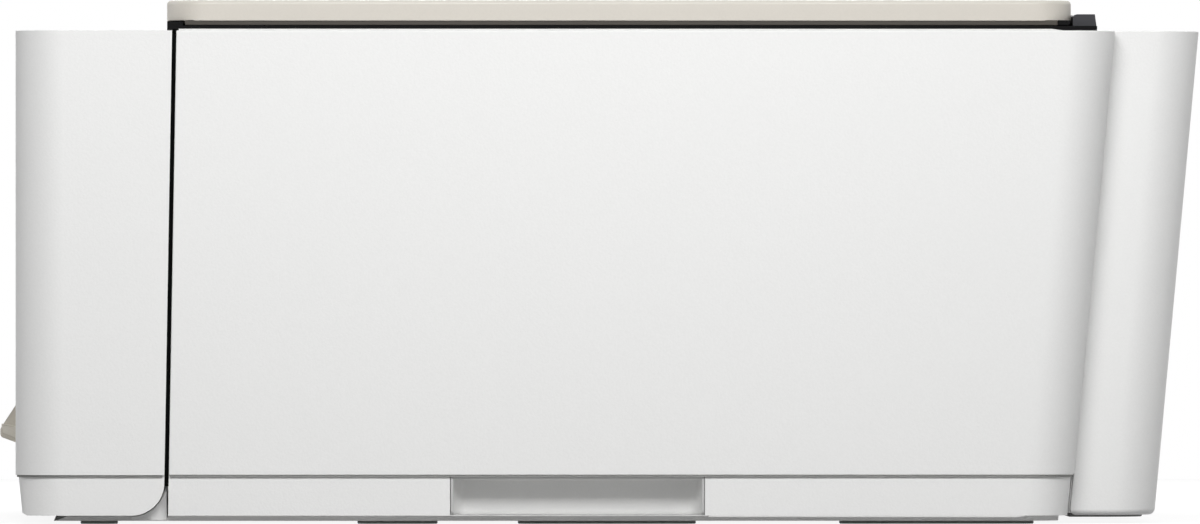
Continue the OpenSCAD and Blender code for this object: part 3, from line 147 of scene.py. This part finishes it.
# The floor is a matt white table top; it keeps a faint shadow and otherwise melts into the room.
reach = 1.25
floor_mesh = bpy.data.meshes.new("white_table")
floor_corners = [(-reach, -reach, 0), (reach, -reach, 0), (reach, reach, 0), (-reach, reach, 0)]
floor_mesh.from_pydata(floor_corners, [], [(0, 1, 2, 3)])
floor = bpy.data.objects.new("white_table", floor_mesh)
bpy.context.scene.collection.objects.link(floor)
laminate = bpy.data.materials.new("matt_white_laminate")
laminate.use_nodes = True
tree = laminate.node_tree
tree.nodes.clear()
plain = add(tree, "ShaderNodeBsdfDiffuse", {"Color": linear("#A9A9A9")})
faint = add(tree, "ShaderNodeBsdfDiffuse", {"Color": linear("#6F6F6F")})
glow = add(tree, "ShaderNodeEmission", {"Color": (1, 1, 1, 1), "Strength": 0.9})
pale = add(tree, "ShaderNodeAddShader", {0: faint.outputs[0], 1: glow.outputs[0]})
table_top = add(tree, "ShaderNodeMixShader", {0: seen_by_eye(tree), 1: plain.outputs[0],
                                              2: pale.outputs[0]})
add(tree, "ShaderNodeOutputMaterial", {"Surface": table_top.outputs[0]})
floor_mesh.materials.append(laminate)


# ---- Base pan ----
# The pan carries the whole machine. Like the other case mouldings it is high-impact polystyrene
# from a spark-eroded mould, which leaves an even fine grain and a satin sheen.

mm = 0.001


def moulded(name, hex_colour, roughness, grain_mm, relief_share, specular=0.5, ior=1.58, shade=0.03):
    """Plastic from a textured mould: a fine grain, and a faint drift of gloss over the wall.

    A real grain is about a tenth of a millimetre wide; grain_mm is several times coarser, to show.
    """
    gloss_drift = 0.03
    grain_height = grain_mm * mm / 4
    plastic = bpy.data.materials.new(name)
    plastic.use_nodes = True
    tree = plastic.node_tree
    tree.nodes.clear()
    place = add(tree, "ShaderNodeTexCoord")
    grain = add(tree, "ShaderNodeTexNoise", {"Vector": place.outputs["Object"], "Scale": 1000 / grain_mm,
                                             "Detail": 2.0, "Roughness": 0.6})
    sink_mm = 60
    sink = add(tree, "ShaderNodeTexNoise", {"Vector": place.outputs["Object"], "Scale": 1000 / sink_mm,
                                            "Detail": 1.0})
    red, green, blue, _ = linear(hex_colour)
    dark = (red * (1 - shade), green * (1 - shade), blue * (1 - shade), 1)
    light = (min(1, red * (1 + shade)), min(1, green * (1 + shade)), min(1, blue * (1 + shade)), 1)
    tone = add(tree, "ShaderNodeMix", {"Factor": grain.outputs[0], "A": dark, "B": light},
               data_type="RGBA")
    gloss = add(tree, "ShaderNodeMapRange", {"Value": sink.outputs[0], "From Min": 0.3, "From Max": 0.7,
                                             "To Min": roughness - gloss_drift,
                                             "To Max": roughness + gloss_drift})
    relief = add(tree, "ShaderNodeBump", {"Height": grain.outputs[0], "Strength": relief_share,
                                          "Distance": grain_height})
    body = add(tree, "ShaderNodeBsdfPrincipled", {"Base Color": tone.outputs["Result"],
                                                  "Roughness": gloss.outputs["Result"],
                                                  "Normal": relief.outputs[0], "IOR": ior,
                                                  "Specular IOR Level": specular})
    add(tree, "ShaderNodeOutputMaterial", {"Surface": body.outputs[0]})
    return plastic


def round_edges(part, radius, segments=2, group=None):
    """Round a part's sharp edges, or only the edges whose ends are in a vertex group."""
    sharp_angle = math.radians(35)
    edges = part.modifiers.new("rounded_edges", "BEVEL")
    edges.width = radius
    edges.segments = segments
    if group:
        edges.limit_method = "VGROUP"
        edges.vertex_group = group
    else:
        edges.limit_method = "ANGLE"
        edges.angle_limit = sharp_angle


def smooth_faces(part):
    """Shade a part as one smooth surface that keeps its flat faces flat."""
    part.data.polygons.foreach_set("use_smooth", [True] * len(part.data.polygons))
    shading = part.modifiers.new("even_shading", "WEIGHTED_NORMAL")
    shading.keep_sharp = True


def dress(names, finish, edge=0.4 * mm, rim=None):
    """Give CAD parts their finish and edge radius; rim is the heights and radius of a softer rim."""
    same_place = 0.01 * mm
    same_plane = math.radians(0.5)
    for name in names:
        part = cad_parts[name]
        mesh = part.data
        mesh.materials.clear()
        mesh.materials.append(finish)
        if "custom_normal" in mesh.attributes:
            mesh.attributes.remove(mesh.attributes["custom_normal"])
        if rim:
            low, high, radius = rim
            group = part.vertex_groups.new(name="soft_rim")
            group.add([v.index for v in mesh.vertices if low <= v.co.z <= high], 1.0, "REPLACE")
        weld = part.modifiers.new("one_skin", "WELD")
        weld.merge_threshold = same_place
        flat = part.modifiers.new("flat_faces", "DECIMATE")
        flat.decimate_type = "DISSOLVE"
        flat.angle_limit = same_plane
        if rim:
            round_edges(part, radius, 4, "soft_rim")
        round_edges(part, edge)
        smooth_faces(part)


def new_piece(name, points, faces, finish, slot, body):
    """A piece from points and faces, with its finish and the body it moves with; slot is not used."""
    mesh = bpy.data.meshes.new(name)
    shape = bmesh.new()
    corners = [shape.verts.new(point) for point in points]
    for face in faces:
        shape.faces.new([corners[i] for i in face])
    bmesh.ops.recalc_face_normals(shape, faces=shape.faces)
    shape.to_mesh(mesh)
    shape.free()
    mesh.materials.append(finish)
    part = bpy.data.objects.new(name, mesh)
    bpy.context.scene.collection.objects.link(part)
    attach(part, body)
    return part


def closed_walls(count):
    """Faces that close a solid between two outlines of count points each."""
    walls = [(i, (i + 1) % count, count + (i + 1) % count, count + i) for i in range(count)]
    return walls + [tuple(range(count)), tuple(range(count, 2 * count))]


def prism(outline, near, far):
    """Points and faces of an outline drawn in Y and Z, made solid from x near to x far."""
    count = len(outline)
    points = [(x, y, z) for x in (near, far) for y, z in outline]
    return points, closed_walls(count)


def pair(name, outline, near, far, finish, slot, body, edge=None):
    """The same prism at the right and at the left of the machine, its edges rounded if edge is given."""
    for side, hand in hands:
        part = new_piece(name + hand, *prism(outline, side * near, side * far), finish, slot, body)
        if edge:
            round_edges(part, edge)
        smooth_faces(part)


door_lo, door_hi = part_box("front_door")
white_polystyrene = moulded("textured_white_polystyrene", "#EDEDEC", 0.5, 0.7, 0.25)
dress(["base_pan"], white_polystyrene)

# Behind the door's cut-away heel the pan has a curved cheek, set in a little from the wall.
heel_r = 10.25 * mm
heel_y = -142.2 * mm
heel_z = door_lo.z + 10 * mm
cheek_back = -131.4 * mm
cheek_foot = 1.1 * mm
steps = 12
heel_angles = [math.radians(90 * i / steps) for i in range(steps + 1)]
cheek = [(heel_y + heel_r * math.sin(angle), heel_z - heel_r * math.cos(angle)) for angle in heel_angles]
cheek += [(cheek_back, heel_z), (cheek_back, cheek_foot), (heel_y, cheek_foot)]
pair("pan_cheek_", cheek, 203 * mm, 210.6 * mm, white_polystyrene, "case_white", "printer_body",
     0.3 * mm)

# Each finger grip is a scoop: its roof curls down into the back wall, and its ends curl in. The
# same white plastic is coloured a little greyer here and made duller; the grey is painted shade for the
# recess.
painted_shade_polystyrene = moulded("textured_white_polystyrene_painted_shade", "#DCDCDB", 0.55, 0.7, 0.25)
grip_y = (-45.5 * mm, 31.5 * mm)
grip_z = (2.85 * mm, 14.65 * mm)
mouth_x = case_hi.x - 1.0 * mm
end_r = 4.0 * mm
# The scoop's section, as depth from the mouth and drop from the roof in millimetres.
back_depth = 10.0
roof = [(0, 0), (3, 0.02), (6, 0.06), (8.4, 0.15), (9.4, 0.4), (9.9, 0.9)]
back = [(back_depth, drop) for drop in (1.6, 3.0, 5.0, 7.0, 9.0, 10.6)]
profile = roof + back + [(9.9, 11.8)]
across = 44
grip_middle = (grip_y[0] + grip_y[1]) / 2
grip_half = (grip_y[1] - grip_y[0]) / 2
for side, hand in hands:
    points = []
    for i in range(across + 1):
        y = grip_middle - math.cos(math.pi * i / across) * grip_half
        inward = min(1.0, min(y - grip_y[0], grip_y[1] - y) / end_r)
        end_fade = math.sqrt(1 - (1 - inward) ** 2)
        points += [(side * (mouth_x - depth * mm * end_fade), y, grip_z[1] - drop * mm)
                   for depth, drop in profile]
    row = len(profile)
    faces = [(i * row + j, i * row + j + 1, (i + 1) * row + j + 1, (i + 1) * row + j)
             for i in range(across) for j in range(row - 1)]
    scoop = new_piece("grip_scoop_" + hand, points, faces, painted_shade_polystyrene, "case_white", "printer_body")
    skin = scoop.modifiers.new("wall", "SOLIDIFY")
    skin.thickness = 0.8 * mm
    skin.offset = 1.0
    smooth_faces(scoop)


# ---- Feet ----
# Eight soft pads are stuck under the pan's side rails. They are moulded from grey thermoplastic
# rubber, which stays matt and slightly dusty.

grey_rubber = moulded("moulded_grey_tpe_rubber", "#C8C8C6", 0.8, 0.5, 0.3, specular=0.3, ior=1.52)
dress(["rubber_feet"], grey_rubber, 0.25 * mm)


# ---- Inner frame and paper guides ----
# The inner frame and its mounts are glass-filled ABS, dark and slightly coarse. The guides that
# the paper slides on are smoother, with ribs along the way the paper goes.

graphite_abs = moulded("textured_graphite_abs", "#2C2C30", 0.5, 0.6, 0.3, specular=0.35, ior=1.54)
black_abs = moulded("moulded_black_abs", "#161618", 0.42, 0.6, 0.3, specular=0.4, ior=1.54)
dress(["inner_frame", "pinch_frame"], graphite_abs)
dress(["platen", "turn_guide", "pick_arm"], black_abs)


# ---- Steel chassis ----
# Side frames, beam, rods and screws are cold-rolled steel with bright zinc, finely scratched
# along the rolling direction, which gives long soft streaks. The real ones are hair-fine; these
# are drawn wider, to show.

rolled_steel = bpy.data.materials.new("zinc_plated_rolled_steel")
rolled_steel.use_nodes = True
tree = rolled_steel.node_tree
tree.nodes.clear()
place = add(tree, "ShaderNodeTexCoord")
streak_mm = 0.8
streak_length_mm = 50
along = add(tree, "ShaderNodeMapping", {"Vector": place.outputs["Object"],
                                        "Scale": (1000 / streak_length_mm, 1000 / streak_mm,
                                                  1000 / streak_mm)})
streaks = add(tree, "ShaderNodeTexNoise", {"Vector": along.outputs[0], "Scale": 1.0, "Detail": 3.0})
tone = add(tree, "ShaderNodeMix", {"Factor": streaks.outputs[0], "A": linear("#A9ABAD"),
                                   "B": linear("#C9CBCD")}, data_type="RGBA")
gloss = add(tree, "ShaderNodeMapRange", {"Value": streaks.outputs[0], "To Min": 0.28, "To Max": 0.45})
relief = add(tree, "ShaderNodeBump", {"Height": streaks.outputs[0], "Strength": 0.15,
                                      "Distance": 0.1 * mm})
metal = add(tree, "ShaderNodeBsdfPrincipled", {"Base Color": tone.outputs["Result"], "Metallic": 1.0,
                                               "Roughness": gloss.outputs["Result"],
                                               "Normal": relief.outputs[0]})
add(tree, "ShaderNodeOutputMaterial", {"Surface": metal.outputs[0]})
dress(["side_frames", "carriage_beam", "carriage_rod", "case_screws"], rolled_steel, 0.2 * mm)


# ---- Rollers, shafts and gears ----
# Feed rollers are ground rubber sleeves on steel shafts. Gears and pulleys are white acetal, a
# waxy plastic that runs dry, and the star wheels are thin etched steel.

ground_rubber = moulded("ground_grey_rubber", "#4A4A4B", 0.85, 0.4, 0.5, specular=0.3, ior=1.52)
white_acetal = moulded("moulded_white_acetal", "#E4E4DC", 0.35, 0.5, 0.1, ior=1.48)
belt_rubber = moulded("moulded_black_belt_rubber", "#202021", 0.8, 0.5, 0.4, specular=0.3, ior=1.52)
dress(["feed_rollers", "exit_roller", "pick_roller"], ground_rubber, 0.3 * mm)
dress(["feed_shaft", "star_wheels"], rolled_steel, 0.1 * mm)
dress(["pinch_rollers"], black_abs, 0.3 * mm)
dress(["feed_gear", "exit_gear", "transfer_gear", "feed_pinion", "guide_pinion", "motor_pulley",
       "idler_pulley", "scan_gear"], white_acetal, 0.1 * mm)
dress(["drive_belt"], belt_rubber, 0.1 * mm)


# ---- Motors, boards and encoder ----
# Two motors in zinc-plated cans, a control board in glossy green solder mask, a power supply in a
# black box, and the thin polyester strip that the carriage reads its place from. The board's tracks
# stand up a little under the mask; they are drawn about ten times as wide as real ones, to show.

green_mask = bpy.data.materials.new("green_solder_mask")
green_mask.use_nodes = True
tree = green_mask.node_tree
tree.nodes.clear()
place = add(tree, "ShaderNodeTexCoord")
track_mm = 2.2
tracks = add(tree, "ShaderNodeTexVoronoi", {"Vector": place.outputs["Object"], "Scale": 1000 / track_mm},
             feature="F1", distance="MANHATTAN")
edge = add(tree, "ShaderNodeMapRange", {"Value": tracks.outputs["Distance"], "From Min": 0.45,
                                        "From Max": 0.5})
tone = add(tree, "ShaderNodeMix", {"Factor": edge.outputs["Result"], "A": linear("#0F4426"),
                                   "B": linear("#1D6A3B")}, data_type="RGBA")
relief = add(tree, "ShaderNodeBump", {"Height": edge.outputs["Result"], "Strength": 0.3,
                                      "Distance": 0.05 * mm})
board = add(tree, "ShaderNodeBsdfPrincipled", {"Base Color": tone.outputs["Result"], "Roughness": 0.3,
                                               "Normal": relief.outputs[0], "IOR": 1.5})
add(tree, "ShaderNodeOutputMaterial", {"Surface": board.outputs[0]})
polyester = moulded("clear_polyester_film", "#B9B9B4", 0.25, 1.0, 0.05, ior=1.64)
dress(["drive_motors"], rolled_steel, 0.3 * mm)
dress(["main_board"], green_mask, 0.1 * mm)
dress(["power_supply"], black_abs)
dress(["encoder_strip"], polyester, 0.05 * mm)


# ---- Carriage, cartridges and service station ----
# The carriage is black ABS. One cartridge is dark and grained, the other waxy blue-grey
# polypropylene, and the service sled that wipes and caps them is satin grey ABS.

blue_polypropylene = moulded("blue_grey_polypropylene", "#4C5668", 0.4, 0.6, 0.2, ior=1.49)
grey_abs = moulded("satin_grey_guides_abs", "#8C8C90", 0.45, 0.6, 0.2, ior=1.54)
dress(["carriage"], black_abs)
dress(["black_cartridge", "service_station"], graphite_abs)
dress(["colour_cartridge"], blue_polypropylene)
dress(["service_sled"], grey_abs)


# ---- Cassette and output tray ----
# The cassette is a graphite tray with grey guides on a rack and pinion, and the black tray above
# it catches the prints. Its front bar, with the pull lip, is coloured a paler beige than the lid as
# painted light, since the lip sits in the door's shade; the cream at the lip's ends is smoother and
# lighter still, a painted highlight.

beige_polystyrene = moulded("textured_beige_polystyrene", "#CCC7BE", 0.5, 0.7, 0.25)
beige_painted_light_polystyrene = moulded("textured_beige_polystyrene_painted_light", "#E2DDD2", 0.5, 0.7, 0.25)
beige_painted_highlight_polystyrene = moulded("smooth_beige_polystyrene_painted_highlight", "#F4F0E6", 0.4, 0.7, 0.1)
dress(["input_tray", "tray_floor"], graphite_abs)
dress(["width_guide_left", "width_guide_right", "length_guide"], grey_abs)
dress(["tray_front"], beige_painted_light_polystyrene, 0.3 * mm)
dress(["output_tray", "output_extender", "output_stop"], black_abs)

# A lighter bar closes each end of the pull lip under a thin bead; their cream is a painted highlight.
front_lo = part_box("tray_front")[0]
lip_end_x = 95 * mm
lip_inside = lip_end_x - 0.5 * mm
tip_y = front_lo.y + 0.35 * mm
root_y = tip_y + 6.0 * mm
tip_z = 29.3 * mm
root_z = 28.3 * mm
lip_bar = [(tip_y, tip_z), (tip_y + 0.3 * mm, 26.9 * mm), (root_y, 24.6 * mm), (root_y, root_z)]
lip_bead = [(tip_y, tip_z), (root_y, root_z), (root_y, root_z + 0.45 * mm),
            (tip_y + 0.1 * mm, tip_z + 0.45 * mm)]
for piece, outline, proud in (("lip_bar_", lip_bar, 0.3 * mm), ("lip_bead_", lip_bead, 0.5 * mm)):
    pair(piece, outline, lip_inside, lip_end_x + proud, beige_painted_highlight_polystyrene, "lid_beige", "cassette",
         0.12 * mm)


# ---- Case walls and rear cover ----
# The housing is one tall white moulding over the pan, with a shoulder at each end of the rear
# bulge; the cover between the shoulders pulls out to the back. Their lower rims are softly rounded.

foot_rim = (0, door_lo.z + 0.02 * mm, 1.8 * mm)
dress(["main_housing"], white_polystyrene, 0.3 * mm, foot_rim)
dress(["rear_cover"], white_polystyrene, 0.45 * mm, foot_rim)

# A matt grey strip in the joint under the housing's lower edge, on the pan and on the door, is painted
# shade for the shadow deep in the gap, so the joint reads as a soft grey line. The black strips
# behind the door's seam are painted shade as well, so that seam reads as a gap.
joint_shade_grey = moulded("painted_joint_shade_grey", "#ACACAA", 0.9, 0.8, 0.4, specular=0.1, ior=1.5)
seam_shade_black = moulded("painted_seam_shade_black", "#0B0B0B", 0.9, 0.8, 0.4, specular=0.1, ior=1.5)
joint_z = (14.25 * mm, 14.88 * mm)
corner_r = 14.5 * mm
rear_y = 144.1 * mm


def joint_shade_strip(name, path, body):
    """A strip of painted joint shade along a path of places and outward directions, set back from the
    wall's face.
    """
    set_back = (0.4 * mm, 1.3 * mm)
    points = [(x - out_x * depth, y - out_y * depth, z)
              for x, y, out_x, out_y in path for depth in set_back for z in joint_z]
    faces = [(start + a, start + b, start + 4 + b, start + 4 + a)
             for start in range(0, 4 * len(path) - 4, 4) for a, b in ((0, 1), (1, 3), (3, 2), (2, 0))]
    last = 4 * len(path) - 4
    faces += [(0, 1, 3, 2), (last, last + 1, last + 3, last + 2)]
    strip = new_piece(name, points, faces, joint_shade_grey, "rubber", body)
    smooth_faces(strip)


def bend(centre, start, sweep, bends=9):
    """Places and directions along a corner, from start degrees on."""
    angles = [math.radians(start + sweep * i / bends) for i in range(bends + 1)]
    return [(centre[0] + corner_r * math.cos(a), centre[1] + corner_r * math.sin(a), math.cos(a),
             math.sin(a)) for a in angles]


corner_x = case_hi.x - corner_r
seam_y = (-132.9 * mm, -130.6 * mm)
strip_end_x = 198.3 * mm
pan_turn = bend((corner_x, rear_y - corner_r), 0, 90)
path = [(case_hi.x, seam_y[1], 1, 0)] + pan_turn + [(strip_end_x, rear_y, 0, 1)]
for side, hand in hands:
    joint_shade_strip("pan_joint_shade_" + hand, [(side * x, y, side * out_x, out_y) for x, y, out_x, out_y in path],
                "printer_body")
door_turn = bend((corner_x, door_lo.y + corner_r), 0, -90)
right_half = [(case_hi.x, seam_y[0], 1, 0)] + door_turn
left_half = [(-x, y, -out_x, out_y) for x, y, out_x, out_y in reversed(right_half)]
joint_shade_strip("door_joint_shade", right_half + left_half, "door")

# Behind each end of the door's seam a black strip on the inner frame is painted shade: it stands
# for the dark depth of the gap, and stops daylight showing through it.
seam_shade_y = (-134.0 * mm, -126.2 * mm)
seam_shade_z = (11.5 * mm, 148.6 * mm)
tongue_y = (-131.4 * mm, -131.12 * mm)
tongue_foot = 2.9 * mm
nose_y = seam_shade_y[0] + 0.8 * mm
nose_z = (seam_shade_z[0] + 1 * mm, seam_shade_z[1] - 1 * mm)
seam_shade_outline = [(nose_y, seam_shade_z[0]), (tongue_y[0], seam_shade_z[0]), (tongue_y[0], tongue_foot),
        (tongue_y[1], tongue_foot), (tongue_y[1], seam_shade_z[0]), (seam_shade_y[1], seam_shade_z[0]),
        (seam_shade_y[1], seam_shade_z[1]), (nose_y, seam_shade_z[1]), (seam_shade_y[0], nose_z[1]), (seam_shade_y[0], nose_z[0])]
pair("door_seam_shade_", seam_shade_outline, 208.6 * mm, 212.3 * mm, seam_shade_black, "rubber", "printer_body")

# Behind the grip the pan's wall reaches a little lower, as a skirt over the feet.
skirt_front = 32.6 * mm
skirt_top = 4.4 * mm
skirt = [(skirt_front, skirt_top), (skirt_front, 2.1 * mm), (126.0 * mm, 2.0 * mm),
         (128.6 * mm, 2.3 * mm), (129.0 * mm, skirt_top)]
pair("pan_skirt_", skirt, 212.6 * mm, 215.06 * mm, white_polystyrene, "case_white", "printer_body",
     0.3 * mm)

# A grey sill stands under each shoulder of the bulge, just inside its wall. Its grey is painted
# shade for the white underside in shadow there.
underside_shade_grey = moulded("white_polystyrene_painted_underside_shade", "#717170", 0.6, 0.7, 0.25, specular=0.3)
sill_z = (2.0 * mm, 3.6 * mm)
sill_r = 13.6 * mm
sill_centre = (182.0 * mm, 152.0 * mm)
sill_inside = 152.0 * mm
sill_front = 142.6 * mm
sill_turn = [(sill_centre[0] + sill_r * math.cos(math.radians(angle)),
              sill_centre[1] + sill_r * math.sin(math.radians(angle))) for angle in range(0, 91, 10)]
sill = [(sill_inside, sill_front), (sill_centre[0] + sill_r, sill_front)] + sill_turn
sill += [(sill_inside, sill_centre[1] + sill_r)]
for side, hand in hands:
    points = [(side * x, y, z) for z in sill_z for x, y in sill]
    base = new_piece("bulge_sill_" + hand, points, closed_walls(len(sill)), underside_shade_grey,
                     "graphite_plastic", "printer_body")
    round_edges(base, 0.4 * mm)
    smooth_faces(base)

# A white web joins the pan's rear corner to the foot of the bulge.
lean = math.tan(math.radians(5.25))
pan_top = 14.5 * mm
web_y = (rear_y - 1.1 * mm, rear_y + 0.3 * mm)
web_z = (3.2 * mm, 14.2 * mm)
web = [(web_y[0] + (z - pan_top) * lean, z) for z in web_z]
web += [(web_y[1] + (z - pan_top) * lean, z) for z in reversed(web_z)]
pair("pan_web_", web, 190 * mm, 197.6 * mm, white_polystyrene, "case_white", "printer_body")

# In each port bay a plate frames the socket: bright steel at the jack, black at the power inlet.
bay_z = (21.9 * mm, 50.1 * mm)
plate_y = (142.6 * mm, 143.4 * mm)


def socket_plate(name, bay_x, hole_x, hole_z, finish, slot):
    """A flat plate that fills a port bay round its socket; its x and its hole are in millimetres."""
    corners = ((0, 0), (1, 0), (1, 1), (0, 1))
    outer = [(bay_x[i] * mm, bay_z[j]) for i, j in corners]
    inner = [(hole_x[i] * mm, hole_z[j] * mm) for i, j in corners]
    points = [(x, y, z) for y in plate_y for x, z in outer + inner]
    faces = []
    for i in range(4):
        j = (i + 1) % 4
        faces += [(i, j, 4 + j, 4 + i), (8 + i, 8 + j, 12 + j, 12 + i), (i, j, 8 + j, 8 + i),
                  (4 + i, 4 + j, 12 + j, 12 + i)]
    plate = new_piece(name, points, faces, finish, slot, "printer_body")
    smooth_faces(plate)


socket_plate("jack_plate", (153.9, 184.1), (162.8, 175.6), (33.4, 45.6), rolled_steel, "steel")
socket_plate("inlet_plate", (-184.1, -153.9), (-180.2, -155.8), (24.8, 42.2), black_abs,
             "black_plastic")

# The housing's top is crowned along each side, and the crown catches the light from above.
housing_top = door_hi.z
crown_x = (208.0 * mm, 215.7 * mm)
crown_h = 0.6 * mm
crown_y = (-127.9 * mm, 141.0 * mm)
run_out = 4 * mm
sunk = 0.05 * mm
steps = 14
crown_middle = (crown_x[0] + crown_x[1]) / 2
crown_half = (crown_x[1] - crown_x[0]) / 2
crown = [(crown_middle - crown_half * math.cos(math.pi * i / steps),
          crown_h * math.sin(math.pi * i / steps)) for i in range(steps + 1)]
for side, hand in hands:
    points = []
    faces = []
    for y, share in ((crown_y[0], 1.0), (crown_y[1] - run_out, 1.0), (crown_y[1], 0.05)):
        points += [(side * x, y, housing_top - sunk + height * share) for x, height in crown]
    row = len(crown)
    for start in (0, row):
        faces += [(start + i, start + (i + 1) % row, start + row + (i + 1) % row, start + row + i)
                  for i in range(row)]
    faces += [tuple(range(row)), tuple(range(2 * row, 3 * row))]
    ridge = new_piece("housing_crown_" + hand, points, faces, white_polystyrene, "case_white",
                      "printer_body")
    smooth_faces(ridge)


# ---- Scanner bed ----
# A matt black frame holds the document glass over a shallow tub, in which the scan head runs on
# a steel rail. The frame hardly shines, so it reads as a dark line under the lid. The glass is
# plain float glass with a faint green body and a slow ripple in its shine.

matt_black_abs = moulded("matt_black_abs", "#0A0A0B", 0.75, 0.6, 0.2, specular=0.12, ior=1.54)
glass = bpy.data.materials.new("clear_float_glass")
glass.use_nodes = True
tree = glass.node_tree
tree.nodes.clear()
place = add(tree, "ShaderNodeTexCoord")
ripple_mm = 40
ripple = add(tree, "ShaderNodeTexNoise", {"Vector": place.outputs["Object"], "Scale": 1000 / ripple_mm})
relief = add(tree, "ShaderNodeBump", {"Height": ripple.outputs[0], "Strength": 0.05,
                                      "Distance": 0.2 * mm})
pane = add(tree, "ShaderNodeBsdfPrincipled", {"Base Color": linear("#E4F0EC"), "Roughness": 0.02,
                                              "IOR": 1.52, "Transmission Weight": 1.0,
                                              "Normal": relief.outputs[0]})
add(tree, "ShaderNodeOutputMaterial", {"Surface": pane.outputs[0]})
dress(["scanner_base"], graphite_abs)
dress(["scanner_frame"], matt_black_abs, 0.15 * mm)
dress(["scan_rail"], rolled_steel, 0.1 * mm)
dress(["scan_head"], black_abs)
dress(["scanner_glass"], glass, 0.2 * mm)


# ---- Lid ----
# The lid is a shallow beige moulding with a satin grain and a soft upper rim. Under it a duller
# taupe inner panel carries a smooth white foam backing, and graphite blocks hold the hinge pins.

taupe_polystyrene = moulded("textured_taupe_polystyrene", "#8B857C", 0.55, 0.7, 0.25, specular=0.3)
taupe_painted_shade_polystyrene = moulded("textured_taupe_polystyrene_painted_shade", "#45413C", 0.6, 0.7, 0.25,
                                 specular=0.25)
white_foam = moulded("white_foam_film", "#EFEFEC", 0.6, 1.5, 0.1, ior=1.5)
dress(["lid_shell"], beige_polystyrene, 0.3 * mm,
      (lid_hi.z - 0.02 * mm, lid_hi.z + 0.02 * mm, 1.3 * mm))
dress(["lid_inner"], taupe_polystyrene, 0.2 * mm)
dress(["lid_pad"], white_foam, 0.3 * mm)

# The inner panel's rim stands just inside the shell's edge, in a darker taupe that is painted shade
# under the lid's overhang, and a dark rail closes its rear.
rim_edge = 0.2 * mm
rim_y = (-126.0 * mm, 139.0 * mm)
rim_z = (151.35 * mm, 152.95 * mm)
rim = [(rim_y[0], rim_z[0]), (rim_y[1], rim_z[0]), (rim_y[1], rim_z[1]), (rim_y[0], rim_z[1])]
pair("lid_rim_", rim, 203.0 * mm, 205.6 * mm, taupe_painted_shade_polystyrene, "graphite_plastic", "lid", rim_edge)
chamfer = 0.6 * mm
rail_y = (139.1 * mm, 142.9 * mm)
rail = [(rail_y[0], rim_z[0]), (rail_y[1] - chamfer, rim_z[0]), (rail_y[1], rim_z[0] + chamfer),
        (rail_y[1], rim_z[1]), (rail_y[0], rim_z[1])]
pair("lid_rail_", rail, 160 * mm, 205.2 * mm, matt_black_abs, "graphite_plastic", "lid", rim_edge)
dress(["lid_hinges"], graphite_abs, 0.3 * mm)


# ---- Front door ----
# The door is the machine's whole front, white like the case, with a dark liner behind it. It
# drops forward about pins near its foot.

dress(["front_door"], white_polystyrene, 0.45 * mm)
dress(["door_liner"], graphite_abs)


# ---- Touch panel and power button ----
# A polished black acrylic window covers the touch display and reflects the room like a mirror. A
# satin grey button sits beside it.

black_acrylic = moulded("polished_black_acrylic", "#050506", 0.08, 3.0, 0.02, ior=1.49)
display_glass = moulded("dark_display_glass", "#0B0E14", 0.05, 3.0, 0.01, ior=1.52)
button_abs = moulded("satin_grey_abs", "#A6A6A8", 0.35, 0.5, 0.15, ior=1.54)
dress(["control_panel"], black_acrylic, 0.3 * mm)
dress(["touch_display"], display_glass, 0.1 * mm)
dress(["power_button"], button_abs, 0.3 * mm)
